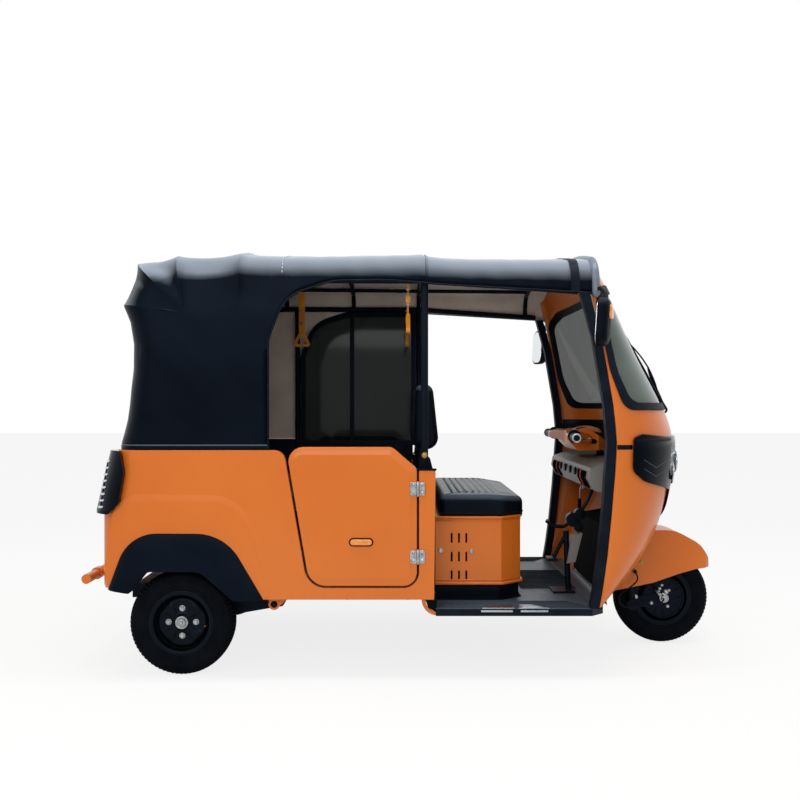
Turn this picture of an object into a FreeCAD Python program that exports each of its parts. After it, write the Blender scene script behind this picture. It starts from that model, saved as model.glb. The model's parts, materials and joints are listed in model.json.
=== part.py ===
"""Auto rickshaw: a three-wheeled passenger vehicle with a soft canopy, in millimetres.

The frame has +X forward, +Y to the vehicle's left and +Z up, with the origin on the ground under
the middle of the overall box. Lengths ahead of the cabin are taken from the front axle, and lengths
of the rear body from the rear axle, so that the wheel base can change by itself.
"""
import FreeCAD, Part

import math
import os

import Sketcher
from FreeCAD import Placement, Rotation, Vector

# Driving dimensions: alias, value in millimetres or degrees, meaning
SIZES = (
    ("wheel_base", 1990, "rear axle to front axle"),
    ("rear_overhang", 411, "rear axle to the back of the bumper's collars"),
    ("rear_track", 1020, "between the middles of the rear tyres"),
    ("tyre_radius", 202, "outer radius of every tyre"),
    ("tyre_width", 104, "section width of every tyre"),
    ("flange_radius", 126, "outer radius of the rim flanges"),
    ("rim_width", 90, "between the outsides of the tyre beads"),
    ("rim_plate", 5, "sheet thickness of the rims"),
    ("disc_radius", 97, "radius of the raised wheel disc"),
    ("hub_radius", 30, "radius of the wheel hubs"),
    ("axle_radius", 12.5, "radius of the stub axles"),
    ("running_fit", 0.05, "radial clearance of a turning shaft"),
    ("body_width", 1240, "over the side panels"),
    ("wall", 25, "thickness of the body panels and doors"),
    ("sill_height", 305, "lower edge of the side panels"),
    ("belt_height", 870, "top edge of the rear body"),
    ("post_height", 793, "top of the post ahead of the door"),
    ("post_front", 977, "rear axle to the front edge of that post"),
    ("tail_length", 305, "rear axle to the tail face"),
    ("tail_lean", 60, "how far the tail face leans in at the belt"),
    ("tail_knee", 640, "height at which the tail starts to lean"),
    ("tail_corner", 110, "plan radius of the tail corners"),
    ("cover_drop", 170, "belt to the top edge of the engine cover"),
    ("cover_tall", 314, "height of the engine cover"),
    ("cover_half", 300, "half width of the engine cover"),
    ("plate_hole_pitch", 200, "between the number plate's fixing holes"),
    ("plate_hole_radius", 3.5, "radius of the number plate's fixing holes"),
    ("door_gap", 8, "gap around the doors and the engine cover"),
    ("door_front", 906, "rear axle to the front edge of the doors"),
    ("door_top", 882, "top edge of the doors"),
    ("door_bottom", 357, "lower edge of the doors"),
    ("door_long_top", 496, "length of a door along its top"),
    ("door_long_base", 406, "length of a door along its foot"),
    ("door_chamfer_long", 93, "length of the cut corner of a door"),
    ("door_chamfer_tall", 82, "height of the cut corner of a door"),
    ("hinge_long", 50, "height of a door hinge"),
    ("hinge_pin_radius", 5, "radius of a hinge barrel"),
    ("flare_proud", 30, "how far the wheel flares stand out"),
    ("floor_plate", 20, "thickness of the passenger floor"),
    ("tray_under", 243, "underside of the driver's floor tray"),
    ("tray_plate", 27, "thickness of the driver's floor tray"),
    ("tray_corner", 50, "length of the tray's cut front corners"),
    ("rail_width", 50, "width of a chassis rail"),
    ("rail_spread", 540, "between the middles of the chassis rails"),
    ("rail_depth", 48, "depth of a chassis rail"),
    ("shell_wall", 20, "thickness of the front shell"),
    ("arch_width", 500, "width of the front wheel arch"),
    ("arch_height", 525, "height of the front wheel arch"),
    ("seal_width", 28, "width of the windscreen seal"),
    ("seal_proud", 7, "how far the windscreen seal stands out"),
    ("glass_plate", 6, "thickness of the glass"),
    ("trim_width", 34, "width of the rubber trim on the cab opening"),
    ("seat_side_gap", 60, "body side to the end of the passenger cushion"),
    ("canopy_width", 1220, "over the canopy sides"),
    ("canopy_sheet", 8, "thickness of the canopy with its lining"),
    ("roof_height", 1670, "top of the canopy"),
    ("roof_crown", 52, "rise of the roof between its shoulders"),
    ("roof_shoulder", 120, "radius of the canopy's shoulders"),
    ("eave_height", 1503, "lower edge of the canopy over the cab"),
    ("seam_height", 1450, "seam between roof and side curtains"),
    ("roof_slope", 15, "how far the roof falls from the middle pillars to the windscreen"),
    ("roof_tube", 12.5, "radius of the roof tubes"),
    ("rail_in", 35, "canopy side to the middle of a roof side rail"),
    ("rail_drop", 150, "roof top to the middle of a roof side rail"),
    ("pillar_radius", 14, "radius of the middle pillars"),
    ("pillar_station", 936, "rear axle to the middle pillars"),
    ("seat_half", 450, "half width of the driver's seat"),
    ("seat_front", 1327, "rear axle to the front of the driver's seat box"),
    ("seat_box_base", 332, "lower edge of the driver's seat box"),
    ("plinth_inset", 8, "how far the seat's plinth stands in from the box"),
    ("seat_box_top", 600, "top of the driver's seat box"),
    ("seat_cushion", 84, "thickness of the driver's cushion"),
    ("slot_wide", 7, "width of a vent slot"),
    ("slot_tall", 38, "height of a vent slot"),
    ("slot_pitch_across", 29, "between vent slots, along the car"),
    ("slot_pitch_up", 74, "between vent slots, upward"),
    ("bumper_radius", 19, "radius of the bumper bar"),
    ("bumper_height", 359, "height of the bumper bar's middle"),
    ("bumper_half", 490, "half length of the bumper bar"),
    ("bumper_arm", 340, "middle plane to a bumper arm"),
    ("collar_radius", 24, "radius of the collars on the bumper bar"),
    ("steering_rake", 20, "lean of the steering axis, in degrees"),
    ("steering_trail", 32, "axle ahead of the steering axis, level with the axle"),
    ("column_radius", 17, "radius of the steering column"),
    ("fork_gap", 12, "front tyre to the fork"),
    ("head_radius", 30, "outer radius of the steering head"),
    ("bar_height", 670, "handlebar's middle above the front axle"),
    ("bar_half", 370, "half width of the handlebar"),
    ("bar_radius", 11, "radius of the handlebar tube"),
    ("fender_radius", 268, "outer radius of the front fender"),
    ("fender_half", 98, "half width of the front fender"),
    ("fender_wall", 4, "thickness of the front fender"),
    ("hose_radius", 3.25, "radius of the front brake hose"),
    ("mirror_tall", 178, "height of a mirror"),
    ("mirror_wide", 112, "width of a mirror"),
)

DOC = FreeCAD.newDocument("auto_rickshaw")
SHEET = DOC.addObject("Spreadsheet::Sheet", "sizes")
OUT_PARTS = []
CROSSMEMBERS = []


class Sizes:
    """The sheet's values, read by their aliases."""

    def __getattr__(self, alias):
        return float(SHEET.get(alias))


s = Sizes()


def fill_sheet():
    for row, (alias, value, meaning) in enumerate(SIZES, start=1):
        SHEET.set("A%d" % row, meaning)
        SHEET.set("B%d" % row, str(value))
        SHEET.setAlias("B%d" % row, alias)
    DOC.recompute()


def overall_length():
    return s.rear_overhang + s.wheel_base + s.tyre_radius


def front_x(ahead=0.0):
    """A station measured from the front axle."""
    return overall_length() / 2 - s.tyre_radius + ahead


def rear_x(ahead=0.0):
    """A station measured from the rear axle."""
    return -overall_length() / 2 + s.rear_overhang + ahead


FRONT_X = "((sizes.rear_overhang + sizes.wheel_base - sizes.tyre_radius) / 2)"
REAR_X = "((sizes.rear_overhang - sizes.wheel_base - sizes.tyre_radius) / 2)"


# Outlines and solids

def place_point(plane, u, v, w=0.0):
    """A point of a named plane, with w along the plane's normal."""
    return {"xy": Vector(u, v, w), "xz": Vector(u, w, v), "yz": Vector(w, u, v)}[plane]


def outline(plane, corners, w=0.0):
    """A closed wire through corners (u, v) or (u, v, radius), with an arc at each radius."""
    points = [(c[0], c[1], c[2] if len(c) > 2 else 0.0) for c in corners]
    edges = []
    first = last = None
    for i, (u, v, radius) in enumerate(points):
        here = Vector(u, v, 0)
        before = Vector(*points[i - 1][:2], 0)
        after = Vector(*points[(i + 1) % len(points)][:2], 0)
        start = stop = here
        if radius:
            back = (before - here).normalize()
            ahead = (after - here).normalize()
            half = back.getAngle(ahead) / 2
            reach = radius / math.tan(half)
            start = here + back * reach
            stop = here + ahead * reach
            middle = (back + ahead).normalize()
            crown = here + middle * (radius / math.sin(half) - radius)
        if last is not None and (start - last).Length > 1e-6:
            edges.append((last, start))
        if radius:
            edges.append((start, crown, stop))
        first = start if first is None else first
        last = stop
    if (first - last).Length > 1e-6:
        edges.append((last, first))
    made = []
    for edge in edges:
        spots = [place_point(plane, p.x, p.y, w) for p in edge]
        if len(spots) == 2:
            made.append(Part.LineSegment(*spots).toShape())
        else:
            made.append(Part.Arc(*spots).toShape())
    return Part.Wire(Part.__sortEdges__(made))


def prism(plane, corners, low, high):
    """An outline drawn in a plane and extruded from low to high along the plane's normal."""
    face = Part.Face(outline(plane, corners, low))
    return face.extrude(place_point(plane, 0, 0, high - low))


def block(x, y, z):
    """A box between three (low, high) pairs."""
    return Part.makeBox(x[1] - x[0], y[1] - y[0], z[1] - z[0], Vector(x[0], y[0], z[0]))


def both_sides(shape):
    """The shape and its mirror image across the middle plane, as two solids."""
    return Part.makeCompound([shape, mirrored(shape)])


def mirrored(shape):
    return shape.mirror(Vector(0, 0, 0), Vector(0, 1, 0))


def rod(start, end, radius):
    """A round bar between two points."""
    start, end = Vector(*start), Vector(*end)
    return Part.makeCylinder(radius, (end - start).Length, start, end - start)


def cord_bend(before, here, after):
    """The largest arc that two runs of a cord's route leave room for."""
    half_turn = (here - before).getAngle(after - here) / 2
    return 0.45 * min((here - before).Length, (after - here).Length) / math.tan(half_turn)


def path_wire(points, bend):
    """Straight runs joined by tangent arcs of radius bend, or as large as fits where it is 0."""
    points = [Vector(*p) for p in points]
    edges, last = [], points[0]
    for before, here, after in zip(points, points[1:], points[2:]):
        back = (before - here).normalize()
        ahead = (after - here).normalize()
        half = back.getAngle(ahead) / 2
        radius = bend or cord_bend(before, here, after)
        reach = radius / math.tan(half)
        start, stop = here + back * reach, here + ahead * reach
        crown = here + (back + ahead).normalize() * (radius / math.sin(half) - radius)
        edges.append(Part.LineSegment(last, start).toShape())
        edges.append(Part.Arc(start, crown, stop).toShape())
        last = stop
    edges.append(Part.LineSegment(last, points[-1]).toShape())
    return Part.Wire(edges)


def tube(points, radius, bend=0.0):
    """A round bar bent along the points."""
    if len(points) == 2:
        return rod(points[0], points[1], radius)
    path = path_wire(points, bend)
    run = Vector(*points[1]) - Vector(*points[0])
    ring = Part.Wire(Part.makeCircle(radius, Vector(*points[0]), run))
    return path.makePipeShell([ring], True, True)


def piece(label, shape):
    """Adds a sub-part whose shape is set here."""
    made = DOC.addObject("Part::Feature", label)
    made.Label = label
    made.Shape = shape
    made.Placement = Placement()
    OUT_PARTS.append(made)
    return made


def keep(obj, label):
    """Marks a parametric object as a sub-part."""
    obj.Label = label
    OUT_PARTS.append(obj)
    return obj


def bind(obj, **expressions):
    for prop, expression in expressions.items():
        obj.setExpression(prop.replace("__", "."), expression)


def sketch(body, name, role, corners):
    """A closed sketch of straight lines whose corners are bound to (u, v) expressions."""
    made = body.newObject("Sketcher::SketchObject", name)
    plane = [f for f in body.Origin.OriginFeatures if f.Role == role][0]
    made.AttachmentSupport = [(plane, "")]
    made.MapMode = "FlatFace"
    count = len(corners)
    spots = [Vector(10 * math.cos(6.28 * i / count), 10 * math.sin(6.28 * i / count), 0)
             for i in range(count)]
    for i in range(count):
        made.addGeometry(Part.LineSegment(spots[i], spots[(i + 1) % count]))
    for i in range(count):
        made.addConstraint(Sketcher.Constraint("Coincident", i, 2, (i + 1) % count, 1))
    for i, (across, up) in enumerate(corners):
        for kind, expression, start in (("DistanceX", across, spots[i].x),
                                        ("DistanceY", up, spots[i].y)):
            index = made.addConstraint(Sketcher.Constraint(kind, -1, 1, i, 1, start))
            made.setExpression("Constraints[%d]" % index, str(expression))
    return made


# Wheels

def tyre_body(label):
    """A tyre turned about its own Y axis."""
    body = DOC.addObject("PartDesign::Body", label)
    seat = "(sizes.flange_radius - 3 * sizes.rim_plate)"
    half = "(sizes.tyre_width / 2)"
    bead = "(sizes.rim_width / 2)"
    right = [
        (seat, bead),
        ("sizes.flange_radius + 1", bead),
        ("sizes.flange_radius + 12", half + " * 0.95"),
        ("sizes.tyre_radius - 42", half),
        ("sizes.tyre_radius - 14", half + " * 0.9"),
        ("sizes.tyre_radius - 3", half + " * 0.72"),
        ("sizes.tyre_radius", half + " * 0.5"),
    ]
    left = [(across, "-" + up) for across, up in reversed(right)]
    profile = sketch(body, label + "_section", "XY_Plane", right + left)
    turned = body.newObject("PartDesign::Revolution", label + "_turned")
    turned.Profile = profile
    turned.ReferenceAxis = (profile, ["V_Axis"])
    turned.Angle = 360
    return keep(body, label)


def rim_body(label):
    """A pressed rim with its disc and hub, turned about its own Y axis, outer face towards -Y."""
    body = DOC.addObject("PartDesign::Body", label)
    bead = "(sizes.rim_width / 2)"
    lip = "(sizes.rim_width / 2 + sizes.rim_plate)"
    seat = "(sizes.flange_radius - 3 * sizes.rim_plate)"
    inside = "(sizes.flange_radius - 4 * sizes.rim_plate)"
    bore = "(sizes.axle_radius + sizes.running_fit)"
    corners = [
        (0, "-38"),
        ("sizes.hub_radius - 4", "-38"),
        ("sizes.hub_radius", "-30"),
        ("sizes.disc_radius - 12", "-30"),
        ("sizes.disc_radius", "-20"),
        (inside, "-14"),
        (inside, "-" + lip),
        ("sizes.flange_radius", "-" + lip),
        ("sizes.flange_radius", "-" + bead),
        (seat, "-" + bead),
        (seat, bead),
        ("sizes.flange_radius", bead),
        ("sizes.flange_radius", lip),
        (inside, lip),
        (inside, "-14 + sizes.rim_plate"),
        ("sizes.disc_radius", "-20 + sizes.rim_plate"),
        ("sizes.hub_radius", "-30 + sizes.rim_plate"),
        ("sizes.hub_radius", lip),
        (bore, lip),
        (bore, "-20"),
        (0, "-20"),
    ]
    profile = sketch(body, label + "_section", "XY_Plane", corners)
    turned = body.newObject("PartDesign::Revolution", label + "_turned")
    turned.Profile = profile
    turned.ReferenceAxis = (profile, ["V_Axis"])
    turned.Angle = 360
    return keep(body, label)


def wheels():
    """Three wheels. The front one and the left one show their discs to the left."""
    half_turn = Rotation(Vector(0, 0, 1), 180)
    table = (
        # name, station, side of the car as a factor, disc towards the left
        ("rear_right", REAR_X, "-0.5", False),
        ("rear_left", REAR_X, "0.5", True),
        ("front", FRONT_X, "0", True),
    )
    for name, station, side, to_left in table:
        for made in (tyre_body(name + "_tyre"), rim_body(name + "_rim")):
            if to_left:
                made.Placement = Placement(Vector(0, 0, 0), half_turn)
            bind(made, Placement__Base__x=station,
                 Placement__Base__y=side + " * sizes.rear_track",
                 Placement__Base__z="sizes.tyre_radius")


# Rear body

def plan_section(height, tail, front, half, corner):
    """A plan outline of the rear body at one height, rounded at the tail corners."""
    return outline("xy", [(front, -half), (tail, -half, corner), (tail, half, corner), (front, half)],
                   height)


def tub(inset):
    """The rear body as one solid, made smaller by inset all round."""
    tail = rear_x(-s.tail_length) + inset
    half = s.body_width / 2 - inset
    corner = s.tail_corner - inset
    front = rear_x(s.post_front) + 5 * s.wall
    rows = (
        # height, how far the tail is in from its rearmost place
        (s.sill_height - s.wall, 0.0),
        (s.tail_knee, 0.0),
        (s.belt_height + s.wall, s.tail_lean),
    )
    wires = [plan_section(height, tail + lean, front, half, corner) for height, lean in rows]
    return Part.makeLoft(wires, True, True)


def door_corners(grow=0.0):
    """The side view of a door, grown by a gap."""
    front = rear_x(s.door_front) + grow
    top = s.door_top + grow
    base = s.door_bottom - grow
    rear_top = rear_x(s.door_front) - s.door_long_top - grow
    rear_base = rear_x(s.door_front) - s.door_long_base - grow
    return [
        (rear_top, top, 55 + grow),
        (front - grow - s.door_chamfer_long + grow / 2, top, 40),
        (front, s.door_top - s.door_chamfer_tall + grow / 2, 22 + grow),
        (front, base, 52 + grow),
        (rear_base, base, 75 + grow),
    ]


def flare_outer():
    """The outer edge of a wheel flare in side view, front foot to rear foot."""
    return [
        (rear_x(326), s.sill_height),
        (rear_x(179), 554, 190),
        (rear_x(-182), 556, 150),
        (rear_x(-262), 345),
    ]


def flare_inner():
    """The wheel opening in side view, front foot to rear foot."""
    return [
        (rear_x(212), s.sill_height),
        (rear_x(88), 413, 80),
        (rear_x(-112), 413, 40),
        (rear_x(-178), 332),
    ]


def side_panel_corners():
    """The side of the rear body with its door opening and wheel arch, in side view."""
    door = door_corners(s.door_gap)
    post_rear = door[3][0]
    post_front = rear_x(s.post_front)
    tail = rear_x(-s.tail_length) - 1
    return [
        (tail + s.tail_lean, s.belt_height),
        (door[0][0], s.belt_height, 45),
        door[4],
        door[3],
        (post_rear, s.post_height, 4),
        (post_front, s.post_height, 12),
        (post_front - 6, s.sill_height),
    ] + flare_outer() + [
        (tail, 352),
        (tail, s.tail_knee + 1),
    ]


def rear_body():
    skin = tub(0.0).cut(tub(s.wall))
    half = s.body_width / 2
    corner_line = half - s.tail_corner
    side = prism("xz", side_panel_corners(), -half - 1, -corner_line)
    quarter = skin.common(side)
    piece("rear_quarters", both_sides(quarter))

    tail = rear_x(-s.tail_length)
    span = prism("xz", [
        (tail - 1, 330), (tail + 300, 330), (tail + 300, s.belt_height),
        (tail - 1, s.belt_height),
    ], -corner_line, corner_line)
    panel = skin.common(span).common(block((tail - 5, tail + s.tail_corner + s.tail_lean),
                                           (-corner_line, corner_line),
                                           (s.sill_height, s.belt_height + s.wall)))
    lid_half, lid_top = s.cover_half, s.belt_height - s.cover_drop
    lid_base = lid_top - s.cover_tall
    gap = s.door_gap
    hole = block((tail - 50, tail + 150), (-lid_half - gap, lid_half + gap),
                 (lid_base - gap, lid_top + gap))
    panel = panel.cut(hole)
    lid_zone = block((tail - 50, tail + 150), (-lid_half, lid_half), (lid_base, lid_top))
    knuckle_x, knuckle_z = cover_pivot()
    lid = skin.common(lid_zone)
    knuckles, ears, bores = [], [], []
    half_knuckle, ear = 20, 8
    pin = s.hinge_pin_radius - 2
    for y in (-200, 200):
        low, high = y - half_knuckle, y + half_knuckle
        arm = block((knuckle_x - 4, tail + 14), (low, high), (lid_top - 26, lid_top - 14))
        barrel = rod((knuckle_x, low, knuckle_z), (knuckle_x, high, knuckle_z), s.hinge_pin_radius)
        plate = block((knuckle_x - 4, knuckle_x + 4), (low, high), (lid_top - 26, knuckle_z))
        knuckles.extend([arm, plate, barrel])
        bores.append(rod((knuckle_x, low - 1, knuckle_z), (knuckle_x, high + 1, knuckle_z),
                         pin + s.running_fit))
        for start in (low - ear - 1, high + 1):
            ears.append(block((knuckle_x - 5, tail + 30), (start, start + ear),
                              (knuckle_z - 6, knuckle_z + 8)))
        ears.append(rod((knuckle_x, low - ear, knuckle_z), (knuckle_x, high + ear, knuckle_z), pin))
    for y in (-s.plate_hole_pitch / 2, s.plate_hole_pitch / 2):
        height = (lid_base + lid_top) / 2
        bores.append(rod((tail - 20, y, height), (tail + 100, y, height), s.plate_hole_radius))
    lid = lid.fuse(knuckles).removeSplitter().cut(bores)
    piece("engine_cover", lid)
    piece("rear_panel", panel.fuse(ears).removeSplitter())


def cover_pivot():
    """The engine cover's hinge line: just behind the tail face, above the cover's top edge."""
    return rear_x(-s.tail_length) - 12, s.belt_height - s.cover_drop + 2 * s.door_gap


def flares():
    half = s.body_width / 2
    outer = flare_outer() + [flare_inner()[-1]] + flare_inner()[-2:0:-1] + [flare_inner()[0]]
    ring = prism("xz", outer, -half - s.flare_proud, -half + s.wall)
    piece("wheel_flares", both_sides(ring))


def doors():
    """Padded plates on lift-off hinges: the door's knuckle is the upper half of each barrel."""
    half = s.body_width / 2
    plate = prism("xz", door_corners(), -half, -half + s.wall)
    x, y = door_pin()
    leaf_plate, leaf_long = 3, 24
    pin = s.hinge_pin_radius - 2
    upper, lower, bores = [], [], []
    for z in hinge_heights():
        top, base = z + s.hinge_long / 2, z - s.hinge_long / 2
        upper.append(rod((x, y, z + 0.3), (x, y, top), s.hinge_pin_radius))
        upper.append(block((x - leaf_long, x), (-half - leaf_plate, -half), (z + 0.3, top)))
        bores.append(rod((x, y, z - 1), (x, y, top + 1), pin + s.running_fit))
        barrel = rod((x, y, base), (x, y, z), s.hinge_pin_radius)
        leaf = block((x, x + leaf_long), (-half - leaf_plate, -half), (base, z))
        lower.append(barrel.fuse([leaf, rod((x, y, base), (x, y, top - 2), pin)]).removeSplitter())
    door = plate.fuse(upper).removeSplitter().cut(bores)
    piece("door_right", door)
    piece("door_left", mirrored(door))
    piece("door_hinges", Part.makeCompound(lower + [mirrored(hinge) for hinge in lower]))


def door_pin():
    """The right door's hinge line in plan: in the middle of the gap, just outside the panel."""
    return rear_x(s.door_front) + s.door_gap / 2, -s.body_width / 2 - s.hinge_pin_radius


def hinge_heights():
    return (s.door_top - 158, s.door_bottom + 110)


# Chassis, floors and drive

def chassis():
    half_rail = s.rail_width / 2
    y = s.rail_spread / 2
    step = rear_x(s.post_front)
    tail = rear_x(-s.tail_length) + s.wall + 20
    floor = s.sill_height
    rail = prism("xz", [
        (tail, floor), (tail, floor - s.rail_depth - 8), (step - 30, floor - s.rail_depth - 8),
        (step + 20, s.tray_under - s.rail_depth), (front_x(-375), s.tray_under - s.rail_depth),
        (front_x(-375), s.tray_under), (step, s.tray_under), (step, floor),
    ], -y - half_rail, -y + half_rail)
    piece("chassis_rails", both_sides(rail))
    inner = y - half_rail
    crosses = []
    table = (
        # station, width along the car, underside
        (tail + 30, 60, floor - s.rail_depth),
        (rear_x(354), 60, floor - s.rail_depth),
        (rear_x(s.post_front) - 70, 60, floor - s.rail_depth),
        (rear_x(s.post_front) + 330, 60, s.tray_under - s.rail_depth),
        (front_x(-415), 60, s.tray_under - s.rail_depth),
    )
    for station, width, under in table:
        crosses.append(block((station - width / 2, station + width / 2), (-inner, inner),
                             (under, under + 40)))
    CROSSMEMBERS.extend(crosses)


def pivot_spot():
    """The middle of the right trailing arm's pivot."""
    return Vector(rear_x(354), -s.rear_track / 2 + 110, 262)


SEAT_SHEET = 25


def passenger_seat_top():
    """The top of the passengers' seat base."""
    return 560.0


def suspension():
    """Trailing arms on ears below the floor, with stub axles, shock absorbers and drive shafts."""
    pivot = pivot_spot()
    outer = s.rail_spread / 2 + s.rail_width / 2
    ears = []
    for y in (pivot.y - 34, pivot.y + 26):
        ears.append(prism("xz", [
            (pivot.x - 34, s.sill_height), (pivot.x - 22, pivot.z - 22, 16),
            (pivot.x + 22, pivot.z - 22, 16), (pivot.x + 60, s.sill_height),
        ], y, y + 8))
    hanger = block((pivot.x - 40, pivot.x + 60), (pivot.y - 40, -outer),
                   (s.sill_height - 8, s.sill_height))
    pin = rod((pivot.x, pivot.y - 38, pivot.z), (pivot.x, pivot.y + 38, pivot.z), 8)
    bracket = hanger.fuse(ears + [pin]).removeSplitter()
    CROSSMEMBERS.extend([bracket, mirrored(bracket)])

    hub = Vector(rear_x(), pivot.y, s.tyre_radius)
    pin_bore, bush_half = 8.3, 25
    arm = prism("xz", [(pivot.x + 22, pivot.z - 22, 16), (pivot.x + 22, pivot.z + 22, 16),
                       (hub.x + 60, hub.z + 52, 20), (hub.x - 34, hub.z + 34, 30),
                       (hub.x - 34, hub.z - 34, 30)], hub.y - 20, hub.y + 20)
    boss = rod((hub.x, hub.y - 34, hub.z), (hub.x, hub.y + 22, hub.z), 34)
    inner_face = -s.rear_track / 2 + s.rim_width / 2 + s.rim_plate
    plate = rod((hub.x, inner_face + 4, hub.z), (hub.x, inner_face + 10, hub.z), s.disc_radius - 6)
    stub = rod((hub.x, hub.y, hub.z), (hub.x, -s.rear_track / 2 - 15, hub.z), s.axle_radius)
    seat_under = passenger_seat_top() - SEAT_SHEET
    shock = rod((hub.x + 40, hub.y, hub.z + 40), (hub.x + 40, hub.y, seat_under), 16)
    spring = rod((hub.x + 40, hub.y, 320), (hub.x + 40, hub.y, seat_under - 30), 34)
    arm = arm.fuse([boss, plate, stub, shock, spring])
    arm = arm.cut(rod((pivot.x, pivot.y - bush_half - 5, pivot.z), (pivot.x, pivot.y + bush_half + 5, pivot.z),
                      pin_bore))
    piece("crossmembers", Part.makeCompound(CROSSMEMBERS))
    piece("rear_suspension", both_sides(arm.removeSplitter()))

    engine_half = 150
    engine = DOC.addObject("Part::Box", "engine_block")
    bind(engine, Length="300", Width="300", Height="300",
         Placement__Base__x=REAR_X + " - 200", Placement__Base__y="-150",
         Placement__Base__z="180")
    keep(engine, "engine")
    start = hub.y + 22
    shaft = rod((hub.x, start, hub.z), (hub.x, -engine_half, hub.z), 13)
    piece("drive_shafts", both_sides(shaft))


def floors():
    floor = DOC.addObject("Part::Box", "passenger_floor_plate")
    bind(floor, Length="sizes.post_front - 290", Width="sizes.body_width - 2 * sizes.wall",
         Height="sizes.floor_plate", Placement__Base__x=REAR_X + " + 290",
         Placement__Base__y="sizes.wall - sizes.body_width / 2",
         Placement__Base__z="sizes.sill_height")
    keep(floor, "passenger_floor")

    tray = DOC.addObject("PartDesign::Body", "floor_tray_body")
    rear = REAR_X + " + sizes.post_front + 1"
    nose = FRONT_X + " - 370"
    side = "(sizes.body_width / 2)"
    corner = "sizes.tray_corner"
    plan = sketch(tray, "tray_plan", "XY_Plane", [
        (rear, "-" + side), (nose + " - " + corner, "-" + side),
        (nose, "-" + side + " + " + corner), (nose, side + " - " + corner),
        (nose + " - " + corner, side), (rear, side),
    ])
    pad = tray.newObject("PartDesign::Pad", "tray_pad")
    pad.Profile = plan
    bind(pad, Length="sizes.tray_plate")
    bind(tray, Placement__Base__z="sizes.tray_under")
    keep(tray, "floor_tray")


# Cabin frame and canopy

def roof_section(inset, floor=None, drop=0.0):
    """The cross-section of the canopy: a crowned top on rounded shoulders, lowered by drop."""
    half = s.canopy_width / 2 - inset
    top = s.roof_height - inset - drop
    shoulder = top - s.roof_crown
    low = s.belt_height - 1 if floor is None else floor
    radius = s.roof_shoulder - inset
    straight = half - radius
    lift = shoulder - radius
    mid = math.sqrt(0.5) * radius
    edges = [
        Part.LineSegment(Vector(0, -half, low), Vector(0, -half, lift)),
        Part.Arc(Vector(0, -half, lift), Vector(0, -straight - mid, lift + mid),
                 Vector(0, -straight, shoulder)),
        Part.Arc(Vector(0, -straight, shoulder), Vector(0, 0, top), Vector(0, straight, shoulder)),
        Part.Arc(Vector(0, straight, shoulder), Vector(0, straight + mid, lift + mid),
                 Vector(0, half, lift)),
        Part.LineSegment(Vector(0, half, lift), Vector(0, half, low)),
        Part.LineSegment(Vector(0, half, low), Vector(0, -half, low)),
    ]
    return Part.Wire([edge.toShape() for edge in edges])


# The canopy's tail below the roof: station from the rear axle, height
TAIL_PROFILE = ((-191, 1230), (-221, 1425))
# The top of the canopy behind the cab: station from the rear axle, depth below the roof's top
ROOF_PROFILE = ((-183, 108), (-17, 20), (221, 0))


def roof_line():
    """The crown of the canopy in side view, tail to windscreen."""
    points = [(rear_x(x), s.roof_height - drop) for x, drop in ROOF_PROFILE]
    return points + [(rear_x(s.pillar_station), s.roof_height),
                     (front_x(-412), s.roof_height - s.roof_slope)]


def canopy_side(inset):
    """The canopy in side view, from the belt up over the roof to the front shell."""
    low = s.belt_height - (2 if inset else 0)
    points = [(rear_x(-237) + inset, low)]
    points += [(rear_x(x) + inset, z) for x, z in TAIL_PROFILE]
    points += [(x + (inset if x < rear_x() else 0), z - inset) for x, z in roof_line()[:3]]
    return points + [(rear_x(221), s.roof_height + 20), (front_x(-412), s.roof_height + 20),
                     (front_x(-412), low)]


def canopy_hull(inset, rear, front):
    """The canopy's cross-sections joined along the car: level to the pillars, then falling."""
    wires = []
    for x, drop in ((rear, 0.0), (rear_x(s.pillar_station), 0.0), (front, s.roof_slope)):
        wire = roof_section(inset, drop=drop)
        wire.translate(Vector(x, 0, 0))
        wires.append(wire)
    return Part.makeLoft(wires, True, True)


def canopy_solid(inset):
    reach = s.canopy_width / 2 + 1
    side = prism("xz", canopy_side(inset), -reach, reach)
    front = front_x(-412) + (10 if inset else 0)
    rear = rear_x(-237) + inset
    hull = canopy_hull(inset, rear - 5, front)
    half = s.canopy_width / 2 - inset
    corner = 90 - inset
    plan = prism("xy", [(front, -half), (rear, -half, corner), (rear, half, corner), (front, half)],
                 s.belt_height - 5, s.roof_height + 5)
    if inset:
        side = side.fuse(block((front_x(-420), front_x(-400)), (-half, half),
                               (s.belt_height, s.roof_height + 20)))
    return side.common(hull).common(plan)


def opening_corners():
    """The open side of the canopy in side view: the passenger arch and the cab opening."""
    rear = rear_x(342)
    low = s.belt_height - 10
    return [
        (rear, low), (rear, 1290, 150), (rear_x(405), 1455, 150), (rear_x(590), s.eave_height + 14, 300),
        (rear_x(790), s.eave_height + 14, 900), (rear_x(960), s.eave_height, 900),
        (front_x(-455), s.eave_height - 34), (front_x(-380), s.eave_height - 44), (front_x(-380), low),
    ]


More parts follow.
